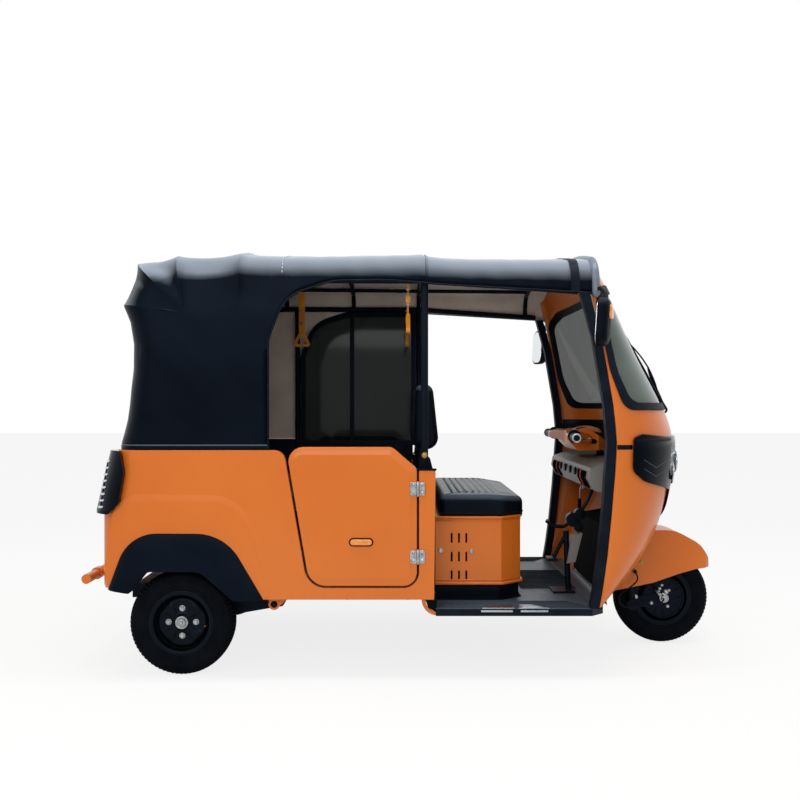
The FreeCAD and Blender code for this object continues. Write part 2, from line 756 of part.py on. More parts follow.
def canopy():
    reach = s.canopy_width
    skin = canopy_solid(0.0).cut(canopy_solid(s.canopy_sheet))
    skin = skin.cut(prism("xz", opening_corners(), -reach, reach))
    half = s.canopy_width / 2
    split = half - 92
    wide = (-reach, reach)
    far = (rear_x(-410), front_x(0))
    roof = skin.common(block(far, wide, (s.seam_height, s.roof_height + 10)))
    piece("canopy_roof", roof)
    curtain = skin.common(block(far, (-reach, -split), (s.belt_height - 5, s.seam_height)))
    piece("canopy_sides", both_sides(curtain))
    back = skin.common(block(far, (-split, split), (s.belt_height - 5, s.seam_height)))
    window = prism("yz", [(-260, 1080, 40), (260, 1080, 40), (260, 1300, 40), (-260, 1300, 40)],
                   rear_x(-410), rear_x(0))
    piece("canopy_back", back.cut(window))
    return back.common(window)


def rail_points(y):
    """The middle line of a roof side rail."""
    level = s.roof_height - s.rail_drop
    return [(rear_x(-135), y, level - 20), (rear_x(275), y, level), (rear_x(s.pillar_station), y, level - 2),
            (front_x(-468), y, level - 43)]


def height_on(points, x):
    """The height of a line through (x, z) points at a station."""
    for (x0, z0), (x1, z1) in zip(points, points[1:]):
        if x0 <= x <= x1:
            return z0 + (z1 - z0) * (x - x0) / (x1 - x0)
    return points[-1][1]


def rail_height(x):
    return height_on([(x0, z0) for x0, y, z0 in rail_points(0.0)], x)


def rail_line():
    """The distance from the middle plane to the side rails and the middle pillars."""
    return s.canopy_width / 2 - s.rail_in


BOW_ROOM = 6
GRAB_LINE = 450


def bow_rise(x):
    """The crown and the shoulder height of a roof bow at a station, and its corner radius."""
    top = height_on(roof_line(), x) - s.canopy_sheet - s.roof_tube - BOW_ROOM
    lost = s.roof_height - height_on(roof_line(), x)
    shoulder = top - s.roof_crown + 2 + lost / 3
    radius = min(rail_line() - 490, shoulder - rail_height(x) - 2)
    return top, shoulder, radius


def bow_wire(x):
    """The middle line of a roof bow, from rail to rail."""
    half = rail_line()
    top, shoulder, radius = bow_rise(x)
    foot = rail_height(x)
    straight = half - radius
    lift = shoulder - radius
    mid = math.sqrt(0.5) * radius
    edges = [
        Part.LineSegment(Vector(x, -half, foot), Vector(x, -half, lift)),
        Part.Arc(Vector(x, -half, lift), Vector(x, -straight - mid, lift + mid),
                 Vector(x, -straight, shoulder)),
        Part.Arc(Vector(x, -straight, shoulder), Vector(x, 0, top), Vector(x, straight, shoulder)),
        Part.Arc(Vector(x, straight, shoulder), Vector(x, straight + mid, lift + mid),
                 Vector(x, half, lift)),
        Part.LineSegment(Vector(x, half, lift), Vector(x, half, foot)),
    ]
    return Part.Wire([edge.toShape() for edge in edges])


def bow_stations():
    return (rear_x(-60), rear_x(275), rear_x(610), rear_x(s.pillar_station), front_x(-520))


def brace_line():
    """The distance from the middle plane to the rear braces, just inside the panels."""
    return s.body_width / 2 - s.wall - s.roof_tube - 0.3


def cabin_frame():
    side_rail = tube(rail_points(-rail_line()), s.roof_tube, 400)
    members = [side_rail, mirrored(side_rail)]
    bow_radius = s.roof_tube - 2
    bows = []
    for station in bow_stations():
        wire = bow_wire(station)
        ring = Part.Wire(Part.makeCircle(bow_radius, wire.Vertexes[0].Point, Vector(0, 0, 1)))
        bow = wire.makePipeShell([ring], True, True)
        if bow.Volume < 0:
            bow.reverse()
        bows.append(bow)
    rear, front = bow_stations()[1], bow_stations()[-1]
    for y in (-GRAB_LINE, GRAB_LINE):
        members.append(rod((rear, y, grab_height(rear)), (front, y, grab_height(front)), 9))
    frame = members[0].fuse(members[1:] + bows).removeSplitter()
    piece("roof_frame", frame)

    floor = s.sill_height + s.floor_plate
    station = rear_x(s.pillar_station)
    line = rail_line()
    posts = [rod((station, -line, floor), (station, -line, rail_height(station)), s.pillar_radius)]
    for x, foot in ((rear_x(327), floor), (rear_x(-140), passenger_seat_top())):
        posts.append(rod((x, -brace_line(), foot), (x, -brace_line(), rail_height(x)), s.roof_tube))
    coped = [biggest(post.cut(frame)) for post in posts]
    piece("cabin_pillars", Part.makeCompound(coped + [mirrored(post) for post in coped]))

    rails = []
    for z in PARTITION_HEIGHTS:
        bar = rod((station, -line, z), (station, line, z), 11)
        for y in (-line, line):
            bar = bar.cut(rod((station, y, floor), (station, y, rail_height(station)), s.pillar_radius))
        rails.append(biggest(bar))
    piece("partition_rails", Part.makeCompound(rails))


# Heights of the cross rails that carry the driver's backrest
PARTITION_HEIGHTS = (894, 1074)
# How far the driver's backrest reaches past those rails
REST_BELOW = 27
REST_ABOVE = 48


def grab_height(x):
    """The height of the grab rails at a station: on the bow at each of their ends."""
    heights = []
    for station in (bow_stations()[1], bow_stations()[-1]):
        top, shoulder, radius = bow_rise(station)
        straight = rail_line() - radius
        heights.append((station, top - (top - shoulder) * (GRAB_LINE / straight) ** 2))
    (x0, z0), (x1, z1) = heights
    return z0 + (z1 - z0) * (x - x0) / (x1 - x0)


def window_corners(inset):
    """The left side window in side view, following the canopy's arch."""
    base = s.belt_height - 32
    top = s.roof_height - s.rail_drop - s.roof_tube - 3
    rear = rear_x(341) + inset
    front = rear_x(s.pillar_station) - s.pillar_radius - inset
    return [
        (rear, base + inset), (rear, 1290, 130 - inset / 2), (rear_x(405) + inset * 0.5, 1450 - inset * 0.8, 140),
        (rear_x(590), top - inset, 250), (front, top - inset), (front, base + inset),
    ]


def side_window(rear_pane):
    near = s.body_width / 2 - s.wall - 18
    band = 24
    ring = prism("xz", window_corners(0), near, near + 16)
    ring = ring.cut(prism("xz", window_corners(band), near - 1, near + 17))
    low, high = s.belt_height - 32 + band - 1, s.roof_height - s.rail_drop - s.roof_tube - 2 - band
    bar = block((rear_x(590), rear_x(612)), (near, near + 16), (low, high))
    ring = ring.fuse(bar).removeSplitter()
    brace = rod((rear_x(327), brace_line(), s.sill_height), (rear_x(327), brace_line(), s.roof_height),
                s.roof_tube)
    piece("side_window_frame", ring.cut(brace))
    panes = prism("xz", window_corners(band), near + 5, near + 5 + s.glass_plate)
    panes = panes.cut(block((rear_x(590), rear_x(612)), (near - 1, near + 20), (low - 50, high + 50)))
    piece("window_panes", Part.makeCompound(panes.Solids + [rear_pane]))


# Front shell

# The front shell by height: edge of the cab opening and nose, both from the front axle, and how far
# its side is in from the rear body's side
SHELL_SECTIONS = (
    (270, -393, -325, 20),
    (345, -380, -215, 8),
    (470, -363, -95, 1),
    (640, -346, -22, 0),
    (900, -328, 14, 0),
    (1040, -341, -32, 2),
    (1300, -385, -178, 12),
    (1530, -436, -300, 24),
    (1630, -462, -395, 32),
)


def shell_solid(grow):
    """The nose as one solid: half ellipses in plan, lofted upward, grown by an offset."""
    wires = []
    for height, edge, nose, inset in SHELL_SECTIONS:
        x = front_x(edge)
        reach = front_x(nose) - x + grow
        wide = s.body_width / 2 - inset + grow
        tall = Part.Ellipse(Vector(x, wide, height), Vector(x - reach, 0, height),
                            Vector(x, 0, height))
        arc = Part.ArcOfEllipse(tall, math.pi, 2 * math.pi).toShape()
        if arc.BoundBox.XMax < x + reach / 2:
            arc = Part.ArcOfEllipse(tall, 0, math.pi).toShape()
        ends = [v.Point for v in arc.Vertexes]
        wires.append(Part.Wire([arc, Part.LineSegment(ends[1], ends[0]).toShape()]))
    return Part.makeLoft(wires, True, False)


def screen_corners(inset=0.0):
    """The windscreen's opening in side view. It wraps round to both sides."""
    ahead = front_x(200)
    return [
        (ahead, 1022 + inset), (front_x(-295) + inset, 1022 + inset, 62),
        (front_x(-352) + inset, 1170, 300), (front_x(-404) + inset, 1440 - inset / 2, 60),
        (front_x(-372) + inset, 1500 - inset, 30), (front_x(-200), 1556 - inset), (ahead, 1556 - inset),
    ]


def mask_corners():
    """The black lamp surround in side view."""
    ahead = front_x(200)
    return [
        (ahead, 912), (front_x(-90), 915), (front_x(-225), 930, 30), (front_x(-263), 916, 20),
        (front_x(-266), 790, 40), (front_x(-215), 750, 40), (front_x(-90), 712, 50),
        (front_x(-53), 698, 12), (front_x(-44), 560), (ahead, 520),
    ]


def lamp_zone(side):
    """One headlamp lens as seen from the front."""
    return prism("yz", [(side * 215, 880, 18), (side * 440, 880, 18), (side * 425, 775, 40),
                        (side * 310, 715, 40), (side * 222, 745, 30)], front_x(-300), front_x(300))


def front_end():
    outer = shell_solid(0.0)
    inner = shell_solid(-s.shell_wall)
    far = s.body_width
    skin = outer.cut(inner)
    skin = skin.cut(block((front_x(-700), front_x(-395)), (-560, 560), (200, 1500)))
    back_zone = back_cut()
    skin = skin.cut(back_zone)
    arch = arch_solid()
    screen = prism("xz", screen_corners(), -far, far)
    mask = prism("xz", mask_corners(), -far, far)
    shell = skin.cut(arch).cut(screen).cut(mask)
    header_low = s.eave_height - 44
    room = roof_section(s.canopy_sheet + 0.3, header_low - 1, s.roof_slope)
    room.translate(Vector(front_x(-700), 0, 0))
    room = Part.Face(room).extrude(Vector(1000, 0, 0))
    outside = block((front_x(-600), front_x(200)), (-far, far), (header_low, 1700)).cut(room)
    shell = shell.cut(outside).cut(block((front_x(-700), front_x(200)), (-far, far), (1606, 1700)))
    piece("front_shell", biggest(shell))

    proud = shell_solid(s.seal_proud).cut(inner).cut(back_zone)
    hole = prism("xz", screen_corners(s.seal_width), -far, far)
    seal = proud.common(screen).cut(hole)
    piece("windscreen_seal", biggest(seal))
    pane = shell_solid(-4.0).cut(shell_solid(-4.0 - s.glass_plate)).common(hole).cut(back_zone)
    piece("windscreen_glass", biggest(pane))

    thick = shell_solid(12.0).cut(inner).cut(back_zone).common(mask).cut(arch)
    lenses = []
    for side in (-1, 1):
        zone = lamp_zone(side)
        lens = thick.common(zone)
        thick = thick.cut(zone)
        lenses.append(biggest(lens))
    piece("headlamp_surround", biggest(thick))
    piece("headlamp_lenses", Part.makeCompound(lenses))


def biggest(shape):
    return max(shape.Solids, key=lambda solid: solid.Volume)


def back_cut():
    """What lies behind the shell's open back, so that it has an open mouth towards the cab."""
    half = s.body_width / 2 - s.shell_wall
    rows = [(height, edge) for height, edge, nose, inset in SHELL_SECTIONS]
    corners = [(front_x(edge) + 1, height - (5 if height == 270 else 0)) for height, edge in rows]
    corners = [(front_x(-700), 200)] + [(corners[0][0], 200)] + corners + [(front_x(-700), 1630)]
    return prism("xz", corners, -half - 60, half + 60)


def arch_solid():
    half = s.arch_width / 2
    return block((front_x(-700), front_x(400)), (-half, half), (200, s.arch_height))


def opening_trims():
    """Rubber trims along both edges of the cab opening, from the tray up to the canopy."""
    half_inner = s.body_width / 2 - 46
    corners_front, corners_back = [], []
    for height, edge, nose, inset in SHELL_SECTIONS[:8]:
        corners_front.append((front_x(edge), height))
        corners_back.append((front_x(edge) - s.trim_width, height))
    top = s.eave_height - 36
    corners_front[-1] = (front_x(-430), top)
    corners_back[-1] = (front_x(-430) - s.trim_width, top)
    trim = prism("xz", corners_front + corners_back[::-1], -s.body_width / 2 + 4, -half_inner)
    roofed = canopy_solid(0.0).cut(canopy_solid(s.canopy_sheet))
    trim = trim.cut(roofed)
    piece("opening_trims", both_sides(biggest(trim)))


def bulkhead():
    """The housing over the front wheel, between the arch and the cab."""
    half = s.arch_width / 2
    wall = 12
    x_low, x_high = front_x(-335), front_x(-302)
    top = s.arch_height + wall
    floor = s.tray_under + s.tray_plate
    outer = prism("xz", [(x_low, floor), (x_high, top), (front_x(-95), top + 40),
                         (front_x(-95), floor)], -half - wall, half + wall)
    inner = prism("xz", [(x_low + wall, floor - 1), (x_high + wall, top - wall),
                         (front_x(-80), top + 40 - wall), (front_x(-80), floor - 1)], -half, half)
    box = outer.cut(inner)
    box = box.common(shell_solid(-s.shell_wall - 1.0))
    bore = rod(axis_point(200), axis_point(900), s.column_radius + s.running_fit)
    box = biggest(box.cut(head_tube(s.head_radius - 2)))
    piece("wheel_housing", biggest(box.fuse(head_tube(s.head_radius)).cut(bore)))


def axis_point(up):
    """A point of the steering axis, by its height above the front axle."""
    lean = math.tan(math.radians(s.steering_rake))
    return Vector(front_x(-s.steering_trail) - lean * up, 0, s.tyre_radius + up)


def head_tube(radius):
    return rod(axis_point(330), axis_point(610), radius)


def dash():
    column = rod(axis_point(200), axis_point(900), s.head_radius + 0.3)
    body = prism("xz", [
        (front_x(-398), 791, 12), (front_x(-405), 748), (front_x(-380), 700, 20), (front_x(-250), 686),
        (front_x(-120), 686), (front_x(-120), 836), (front_x(-345), 811),
    ], -572, 572)
    body = body.cut(block((front_x(-600), front_x(-330)), (-700, -470), (600, 900)))
    body = body.cut(block((front_x(-600), front_x(-330)), (470, 700), (600, 900)))
    body = body.common(block((front_x(-600), front_x(100)), (-700, 700), (600, 900)))
    limit = shell_solid(-s.shell_wall - 1.0)
    back = block((front_x(-600), front_x(-300)), (-470, 470), (600, 900))
    body = body.common(limit.fuse(back))
    body = body.cut(column)
    piece("dashboard", biggest(body))


# Steering

def steering():
    hub = Vector(front_x(), 0, s.tyre_radius)
    low, high = axis_point(275), axis_point(s.bar_height - 12)
    column = rod(low, high, s.column_radius)
    bar_mid = axis_point(s.bar_height)
    fork_radius = s.column_radius - 3
    fork_y = -(s.tyre_width / 2 + s.fork_gap + fork_radius)
    knee = Vector(hub.x - 150, fork_y, hub.z + 150)
    foot = Vector(hub.x - 138, fork_y, hub.z - 25)
    fork_points = [tuple(low + Vector(0, 0, 8)), tuple(axis_point(262)),
                   (axis_point(240).x - 12, fork_y, hub.z + 230), tuple(knee), tuple(foot)]
    arm = tube(fork_points, fork_radius, 22)
    eye = Part.makeCylinder(26, 40, Vector(foot.x, fork_y - 20, foot.z), Vector(0, 1, 0))
    fork = column.fuse([arm, eye]).removeSplitter()
    piece("steering_column", fork)
    fork_room = tube(fork_points, fork_radius + 2, 22)

    axle_y = -(s.rim_width / 2 + s.rim_plate)
    link = prism("xz", [(foot.x - 24, foot.z - 20, 18), (hub.x + 24, hub.z - 26, 20),
                        (hub.x + 24, hub.z + 24, 20), (foot.x - 10, foot.z + 24, 18)],
                 axle_y - 16, axle_y - 4)
    link = link.cut(eye)
    plate = Part.makeCylinder(s.disc_radius - 6, 6, Vector(hub.x, axle_y - 10, hub.z), Vector(0, 1, 0))
    stub = rod((hub.x, axle_y - 26, hub.z), (hub.x, 15, hub.z), s.axle_radius)
    damper = rod((hub.x - 10, axle_y - 22, hub.z + 20), (hub.x - 95, axle_y - 22, hub.z + 150), 14)
    link = link.fuse([plate, stub, damper]).cut(fork).removeSplitter()
    piece("front_link", biggest(link))

    grip = Vector(bar_mid.x - 159, 0, bar_mid.z + 35)
    points = [(grip.x, -s.bar_half, grip.z), (grip.x + 8, -s.bar_half + 120, grip.z + 2),
              (bar_mid.x - 4, -110, bar_mid.z + 4), (bar_mid.x - 4, 110, bar_mid.z + 4),
              (grip.x + 8, s.bar_half - 120, grip.z + 2), (grip.x, s.bar_half, grip.z)]
    bar = tube(points, s.bar_radius, 60)
    bar = bar.cut(column)
    grips = []
    for side in (-1, 1):
        start = Vector(*points[0])
        run = Vector(*points[1]) - start
        handle = rod(start - run * (6 / run.Length), start + run * (104 / run.Length), 17)
        grips.append(handle if side < 0 else mirrored(handle))
    bar = bar.fuse(grips).removeSplitter()
    piece("handlebar", bar)

    cover = prism("xz", [
        (bar_mid.x - 150, bar_mid.z + 12, 12), (bar_mid.x - 118, bar_mid.z + 62, 30),
        (bar_mid.x - 62, bar_mid.z + 64, 60), (bar_mid.x + 34, bar_mid.z + 4, 24),
        (bar_mid.x + 34, bar_mid.z - 24, 8), (bar_mid.x - 112, bar_mid.z - 26, 16),
    ], -150, 150)
    wings = prism("xz", [
        (bar_mid.x - 176, bar_mid.z + 18, 8), (bar_mid.x - 176, bar_mid.z + 50, 12),
        (bar_mid.x - 120, bar_mid.z + 60, 20), (bar_mid.x - 60, bar_mid.z + 40, 20),
        (bar_mid.x - 60, bar_mid.z + 6, 12),
    ], -262, 262)
    plan = prism("xy", [(bar_mid.x - 184, -262, 16), (bar_mid.x - 128, -262, 20),
                        (bar_mid.x + 36, -86, 60), (bar_mid.x + 36, 86, 60),
                        (bar_mid.x - 128, 262, 20), (bar_mid.x - 184, 262, 16),
                        (bar_mid.x - 136, 0, 200)], bar_mid.z - 200, bar_mid.z + 200)
    cover = cover.fuse(wings).common(plan).cut(bar).cut(column)
    piece("headset_cover", biggest(cover))

    fender(fork_room)


def fender_arch(grow):
    """The front fender's crown in side view, from its tail over the wheel to its peak."""
    x, z = front_x(), s.tyre_radius + grow
    rear = x - s.fender_radius - grow
    return [(rear - 4, s.tyre_radius + 26), (rear + 12, z + 150, 90), (x - 92, z + 296, 110),
            (x + 40, z + 298, 160), (x + 150 + grow, z + 238, 140), (x + 200 + grow, z + 170, 60),
            (x + 204 + grow, s.tyre_radius + 135)]


def fender(fork_room):
    """A rolled shell over the front wheel, open below, slotted where the fork comes down."""
    half = s.fender_half
    wall = s.fender_wall
    x, z = front_x(), s.tyre_radius
    foot = [(x + 135, z + 130), (x + 63, z + 110), (x - 52, z + 70), (x - 175, z + 45)]
    outer = prism("xz", fender_arch(0.0) + foot, -half, half)
    below = [(x + s.fender_radius * 0.7, z - 10), (x - s.fender_radius, z - 60)]
    inner = prism("xz", fender_arch(-wall) + below, wall - half, half - wall)
    tip, tail, rounding = x + 206, x - s.fender_radius - 10, 72
    outer = outer.common(prism("xy", [(tail, -half), (tip, -half, rounding), (tip, half, rounding),
                                      (tail, half)], z, z + 400))
    inner = inner.common(prism("xy", [(tail - 20, wall - half), (tip - wall, wall - half, rounding - wall),
                                      (tip - wall, half - wall, rounding - wall),
                                      (tail - 20, half - wall)], z - 100, z + 400))
    skin = outer.fuse(hose_union()).cut(inner).cut(fork_room)
    piece("front_fender", biggest(skin))
    brake_hose()


# The hose's route: ahead of the axle, outside the fender's skin, above the axle
HOSE_ROUTE = [(-133, 6, 119), (-124.6, 27, 102.5), (-133.8, 41.8, 80.7), (-172, 44, 52),
              (-204, 42, 33), (-213, 39, 4), (-198, 35, -22), (-162, 31, -34), (-112, 27, -24),
              (-62, 22, -26), (-33, 15, -20), (-11, 7, -7), (-5, -6, 0)]


def hose_points():
    x, z = front_x(), s.tyre_radius
    stub_end = -(s.rim_width / 2 + s.rim_plate) - 26
    points = [(x + ahead, -s.fender_half - out, z + up) for ahead, out, up in HOSE_ROUTE]
    return points + [(x - 5, stub_end - 0.3, z)]


def hose_union():
    """The short union on the fender's side that the hose leaves, down and outward."""
    first, second = (Vector(*point) for point in hose_points()[:2])
    way = (second - first).normalize()
    return rod(first - way * 13, first, s.hose_radius + 3.5)


def brake_hose():
    """The front brake's hose: from its union down, back in a loop and forward to the axle."""
    points = [Vector(*point) for point in hose_points()]
    bends = [cord_bend(*three) for three in zip(points, points[1:], points[2:])]
    print("brake hose bend radii, mm:", " ".join("%.0f" % bend for bend in bends))
    hose = tube(hose_points(), s.hose_radius)
    length = path_wire(hose_points(), 0.0).Length
    print("brake hose length %.1f mm, volume share %.3f"
          % (length, hose.Volume / (math.pi * s.hose_radius ** 2 * length)))
    piece("brake_hose", hose)


# Seats and fittings

def driver_seat():
    """The seat box with its vent slots, the cushion and the backrest on its rails."""
    box = DOC.addObject("PartDesign::Body", "seat_box_body")
    rear = REAR_X + " + sizes.post_front + 4"
    front = REAR_X + " + sizes.seat_front"
    half = "sizes.seat_half"
    plan = sketch(box, "seat_box_plan", "XY_Plane", [
        (rear, "-" + half), (front + " - 84", "-" + half), (front, "74 - " + half),
        (front, half + " - 74"), (front + " - 84", half), (rear, half),
    ])
    pad = box.newObject("PartDesign::Pad", "seat_box_pad")
    pad.Profile = plan
    bind(pad, Length="sizes.seat_box_top - sizes.seat_box_base")
    bind(box, Placement__Base__z="sizes.seat_box_base")
    slots = []
    for row in range(3):
        for column in range(3):
            left = REAR_X + " + sizes.post_front + 66 + %d * sizes.slot_pitch_across" % column
            base = "16 + %d * sizes.slot_pitch_up" % row
            slots.append((left, base))
    for number, (left, base) in enumerate(slots):
        slot = sketch(box, "vent_slot_%d" % number, "XZ_Plane", [
            (left, base), (left + " + sizes.slot_wide", base),
            (left + " + sizes.slot_wide", base + " + sizes.slot_tall"),
            (left, base + " + sizes.slot_tall"),
        ])
        bind(slot, AttachmentOffset__Base__z="sizes.seat_half - 6")
        pocket = box.newObject("PartDesign::Pocket", "vent_%d" % number)
        pocket.Profile = slot
        pocket.Type = 0
        pocket.Reversed = True
        bind(pocket, Length="12")
    keep(box, "seat_box")
    plinth = DOC.addObject("PartDesign::Body", "plinth_body")
    inset = "sizes.plinth_inset"
    side = "(%s - %s)" % (half, inset)
    plan = sketch(plinth, "plinth_plan", "XY_Plane", [
        (rear, "-" + side), (front + " - 84 - " + inset, "-" + side), (front + " - " + inset, "74 - " + side),
        (front + " - " + inset, side + " - 74"), (front + " - 84 - " + inset, side), (rear, side),
    ])
    pad = plinth.newObject("PartDesign::Pad", "plinth_pad")
    pad.Profile = plan
    bind(pad, Length="sizes.seat_box_base - sizes.tray_under - sizes.tray_plate")
    bind(plinth, Placement__Base__z="sizes.tray_under + sizes.tray_plate")
    keep(plinth, "seat_plinth")

    back = rear_x(s.post_front) + 22
    top = s.seat_box_top + s.seat_cushion
    front_edge = rear_x(s.seat_front) + 14
    side = prism("xz", [(back, s.seat_box_top, 12), (back, top + 6, 40), (front_edge - 120, top, 300),
                        (front_edge, top - 12, 34), (front_edge, s.seat_box_top, 20)],
                 -s.seat_half, s.seat_half)
    plan = prism("xy", [(back, -s.seat_half, 20), (front_edge - 92, -s.seat_half, 50),
                        (front_edge, -s.seat_half + 80, 50), (front_edge, s.seat_half - 80, 50),
                        (front_edge - 92, s.seat_half, 50), (back, s.seat_half, 20)],
                 s.seat_box_top, top + 20)
    cushion = side.common(plan)

    station = rear_x(s.pillar_station)
    low = PARTITION_HEIGHTS[0] - REST_BELOW
    high = PARTITION_HEIGHTS[1] + REST_ABOVE
    rest = prism("xz", [(station - 42, low, 26), (station + 61, low, 40), (station + 34, high, 30),
                        (station - 53, high, 30)], -s.seat_half, s.seat_half)
    face = prism("yz", [(-s.seat_half, low, 60), (s.seat_half, low, 60), (s.seat_half, high, 60),
                        (-s.seat_half, high, 60)], station - 100, station + 100)
    rails = [rod((station, -s.seat_half, z), (station, s.seat_half, z), 11.3)
             for z in PARTITION_HEIGHTS]
    piece("driver_seat", Part.makeCompound([cushion, biggest(rest.common(face).cut(rails))]))


def passenger_seat():
    floor = s.sill_height + s.floor_plate
    top = passenger_seat_top()
    under = top - SEAT_SHEET
    half = s.body_width / 2 - s.seat_side_gap
    base = prism("xz", [(rear_x(-180), under), (rear_x(-180), top), (rear_x(325), top),
                        (rear_x(315), floor), (rear_x(299), floor), (rear_x(299), under)], -half + 110, half - 110)
    piece("passenger_seat_base", base)
    cushion = prism("xz", [(rear_x(-72), 560, 10), (rear_x(-72), 668, 30), (rear_x(385), 680, 60),
                           (rear_x(385), 560, 44)], -half, half)
    rest = prism("xz", [(rear_x(-176), 560, 10), (rear_x(-162), 1080, 24), (rear_x(-102), 1080, 28),
                        (rear_x(-73), 560, 10)], -half, half)
    braces = [rod((rear_x(-140), y, s.sill_height), (rear_x(-140), y, s.roof_height), s.roof_tube + 1.5)
              for y in (-brace_line(), brace_line())]
    piece("passenger_seat", Part.makeCompound([cushion, biggest(rest.cut(braces))]))


def rear_fittings():
    bar_x = rear_x(-s.rear_overhang) + s.collar_radius
    tail = rear_x(-s.tail_length)
    foot_z = s.bumper_height + 46
    bar = rod((bar_x, -s.bumper_half, s.bumper_height), (bar_x, s.bumper_half, s.bumper_height),
              s.bumper_radius)
    joined = []
    for y in (-s.bumper_arm, s.bumper_arm):
        joined.append(rod((tail - 2, y, foot_z), (bar_x, y, s.bumper_height), s.bumper_radius - 4))
        joined.append(block((tail - 6, tail), (y - 34, y + 34), (foot_z - 34, foot_z + 34)))
        joined.append(rod((bar_x, y - 22, s.bumper_height), (bar_x, y + 22, s.bumper_height),
                          s.collar_radius))
    piece("rear_bumper", biggest(bar.fuse(joined).cut(tub(0.0)).removeSplitter()))

    proud = 28
    half = s.body_width / 2
    lamp = tub(-proud).cut(tub(0.0))
    side = prism("xz", [(tail - 90, 628), (tail + 45, 628, 16), (tail + 88, 668, 20),
                        (tail + 108, 790, 40), (tail + 86, 868, 16), (tail - 90, 868)],
                 -half - 60, -half + 150)
    back = prism("yz", [(-half - 60, 600), (150 - half, 628, 30), (132 - half, 868, 30),
                        (-half - 60, 880)], tail - 90, tail + 200)
    lamp = lamp.common(side).common(back)
    piece("tail_lamps", both_sides(biggest(lamp)))


def mirror_outline(shrink, radius):
    """The right mirror as seen from behind, made smaller by shrink all round."""
    x, y, z = mirror_spot()
    wide, tall = s.mirror_wide / 2 - shrink, s.mirror_tall / 2 - shrink
    return [(y - wide, z - tall, radius), (y + wide, z - tall, radius),
            (y + wide, z + tall, radius), (y - wide, z + tall, radius)]


def mirror_spot():
    """The middle of the right mirror's housing."""
    return front_x(-411), -s.body_width / 2 - 160, 1341


def mirrors():
    x, y, z = mirror_spot()
    tall = s.mirror_tall / 2
    housing = prism("yz", mirror_outline(0.0, 40), x - 24, x + 24)
    side = prism("xz", [(x - 24, z - tall), (x + 24, z - tall, 34), (x + 24, z + tall, 34),
                        (x - 24, z + tall)], y - s.mirror_wide, y + s.mirror_wide)
    glass = prism("yz", mirror_outline(7.0, 34), x - 27, x - 21)
    housing = housing.common(side).cut(glass)
    root = Vector(x, -s.body_width / 2 + 29, 1480)
    arm = tube([tuple(root), (x, y + 90, 1478), (x, y, z + 60)], 6, 40)
    pad = block((x - 16, x + 16), (root.y - 15, root.y - 9), (root.z - 20, root.z + 20))
    arm = biggest(arm.cut(canopy_solid(0.0)).cut(shell_solid(0.0))).fuse(pad)
    housing = housing.fuse(arm).cut(canopy_solid(0.0)).cut(shell_solid(0.0)).removeSplitter()
    piece("mirror_housings", both_sides(biggest(housing)))
    piece("mirror_glasses", both_sides(glass))


def cab_fittings():
    straps = []
    for x, y, turned in ((rear_x(874), -GRAB_LINE, True), (rear_x(876), GRAB_LINE, True),
                         (rear_x(362), GRAB_LINE, False)):
        top = grab_height(x) - 9.3
        if turned:
            web = block((x - 2, x + 2), (y - 15, y + 15), (1395, top))
            ring = prism("yz", [(y - 48, 1325, 14), (y + 48, 1325, 14), (y, 1420, 14)], x - 8, x + 8)
            hole = prism("yz", [(y - 26, 1338, 6), (y + 26, 1338, 6), (y, 1392, 6)], x - 9, x + 9)
        else:
            web = block((x - 15, x + 15), (y - 2, y + 2), (1395, top))
            ring = prism("xz", [(x - 48, 1325, 14), (x + 48, 1325, 14), (x, 1420, 14)], y - 8, y + 8)
            hole = prism("xz", [(x - 26, 1338, 6), (x + 26, 1338, 6), (x, 1392, 6)], y - 9, y + 9)
        straps.append(web.fuse(ring).cut(hole).removeSplitter())
    piece("hand_straps", Part.makeCompound(straps))

    floor = s.tray_under + s.tray_plate
    x = front_x(-480)
    plate = block((x - 40, x + 50), (-320, -210), (floor, floor + 8))
    post = rod((x + 30, -265, floor + 4), (x + 20, -265, floor + 250), 12)
    arm = rod((x + 20, -265, floor + 235), (x - 30, -265, floor + 140), 8)
    pad = block((x - 60, x - 20), (-300, -230), (floor + 128, floor + 140))
    pedal = plate.fuse([post, arm, pad]).removeSplitter()
    piece("brake_pedal", pedal)

    ahead = front_x(-11)
    foot = Vector(ahead - 20, -100, 1004)
    tip = foot + Vector(42, 0, 8)
    top = Vector(front_x(-171) - 2, -62, 1339)
    base = Vector(front_x(-11), -62, 1049)
    middle = (top + base) * 0.5
    blade = rod(top, base, 5)
    arm = tube([tuple(foot), tuple(tip), tuple(middle + Vector(3, 0, 0))], 5, 12)
    wiper = blade.fuse(arm).removeSplitter().cut(shell_solid(0.3))
    piece("wiper", biggest(wiper))


def check_and_write():
    DOC.recompute()
    os.makedirs("parts", exist_ok=True)
    for obj in DOC.Objects:
        if "Invalid" in obj.State or "Error" in obj.State:
            raise RuntimeError("%s is %s" % (obj.Label, obj.State))
    for obj in OUT_PARTS:
        shape = obj.Shape
        if shape.isNull() or not shape.isValid() or not shape.Solids:
            raise RuntimeError("%s has no valid shape" % obj.Label)
        shape.exportStep("parts/%s.step" % obj.Label)


def main():
    fill_sheet()
    wheels()
    rear_body()
    flares()
    doors()
    chassis()
    suspension()
    floors()
    rear_pane = canopy()
    cabin_frame()
    side_window(rear_pane)
    front_end()
    opening_trims()
    bulkhead()
    dash()
    steering()
    driver_seat()
    passenger_seat()
    rear_fittings()
    mirrors()
    cab_fittings()
    check_and_write()


main()
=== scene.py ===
"""Auto rickshaw, dressed: enamel, coated cloth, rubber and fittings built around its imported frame."""
import json
import logging
import math
from dataclasses import dataclass, field
from enum import Enum
from typing import Callable, Sequence

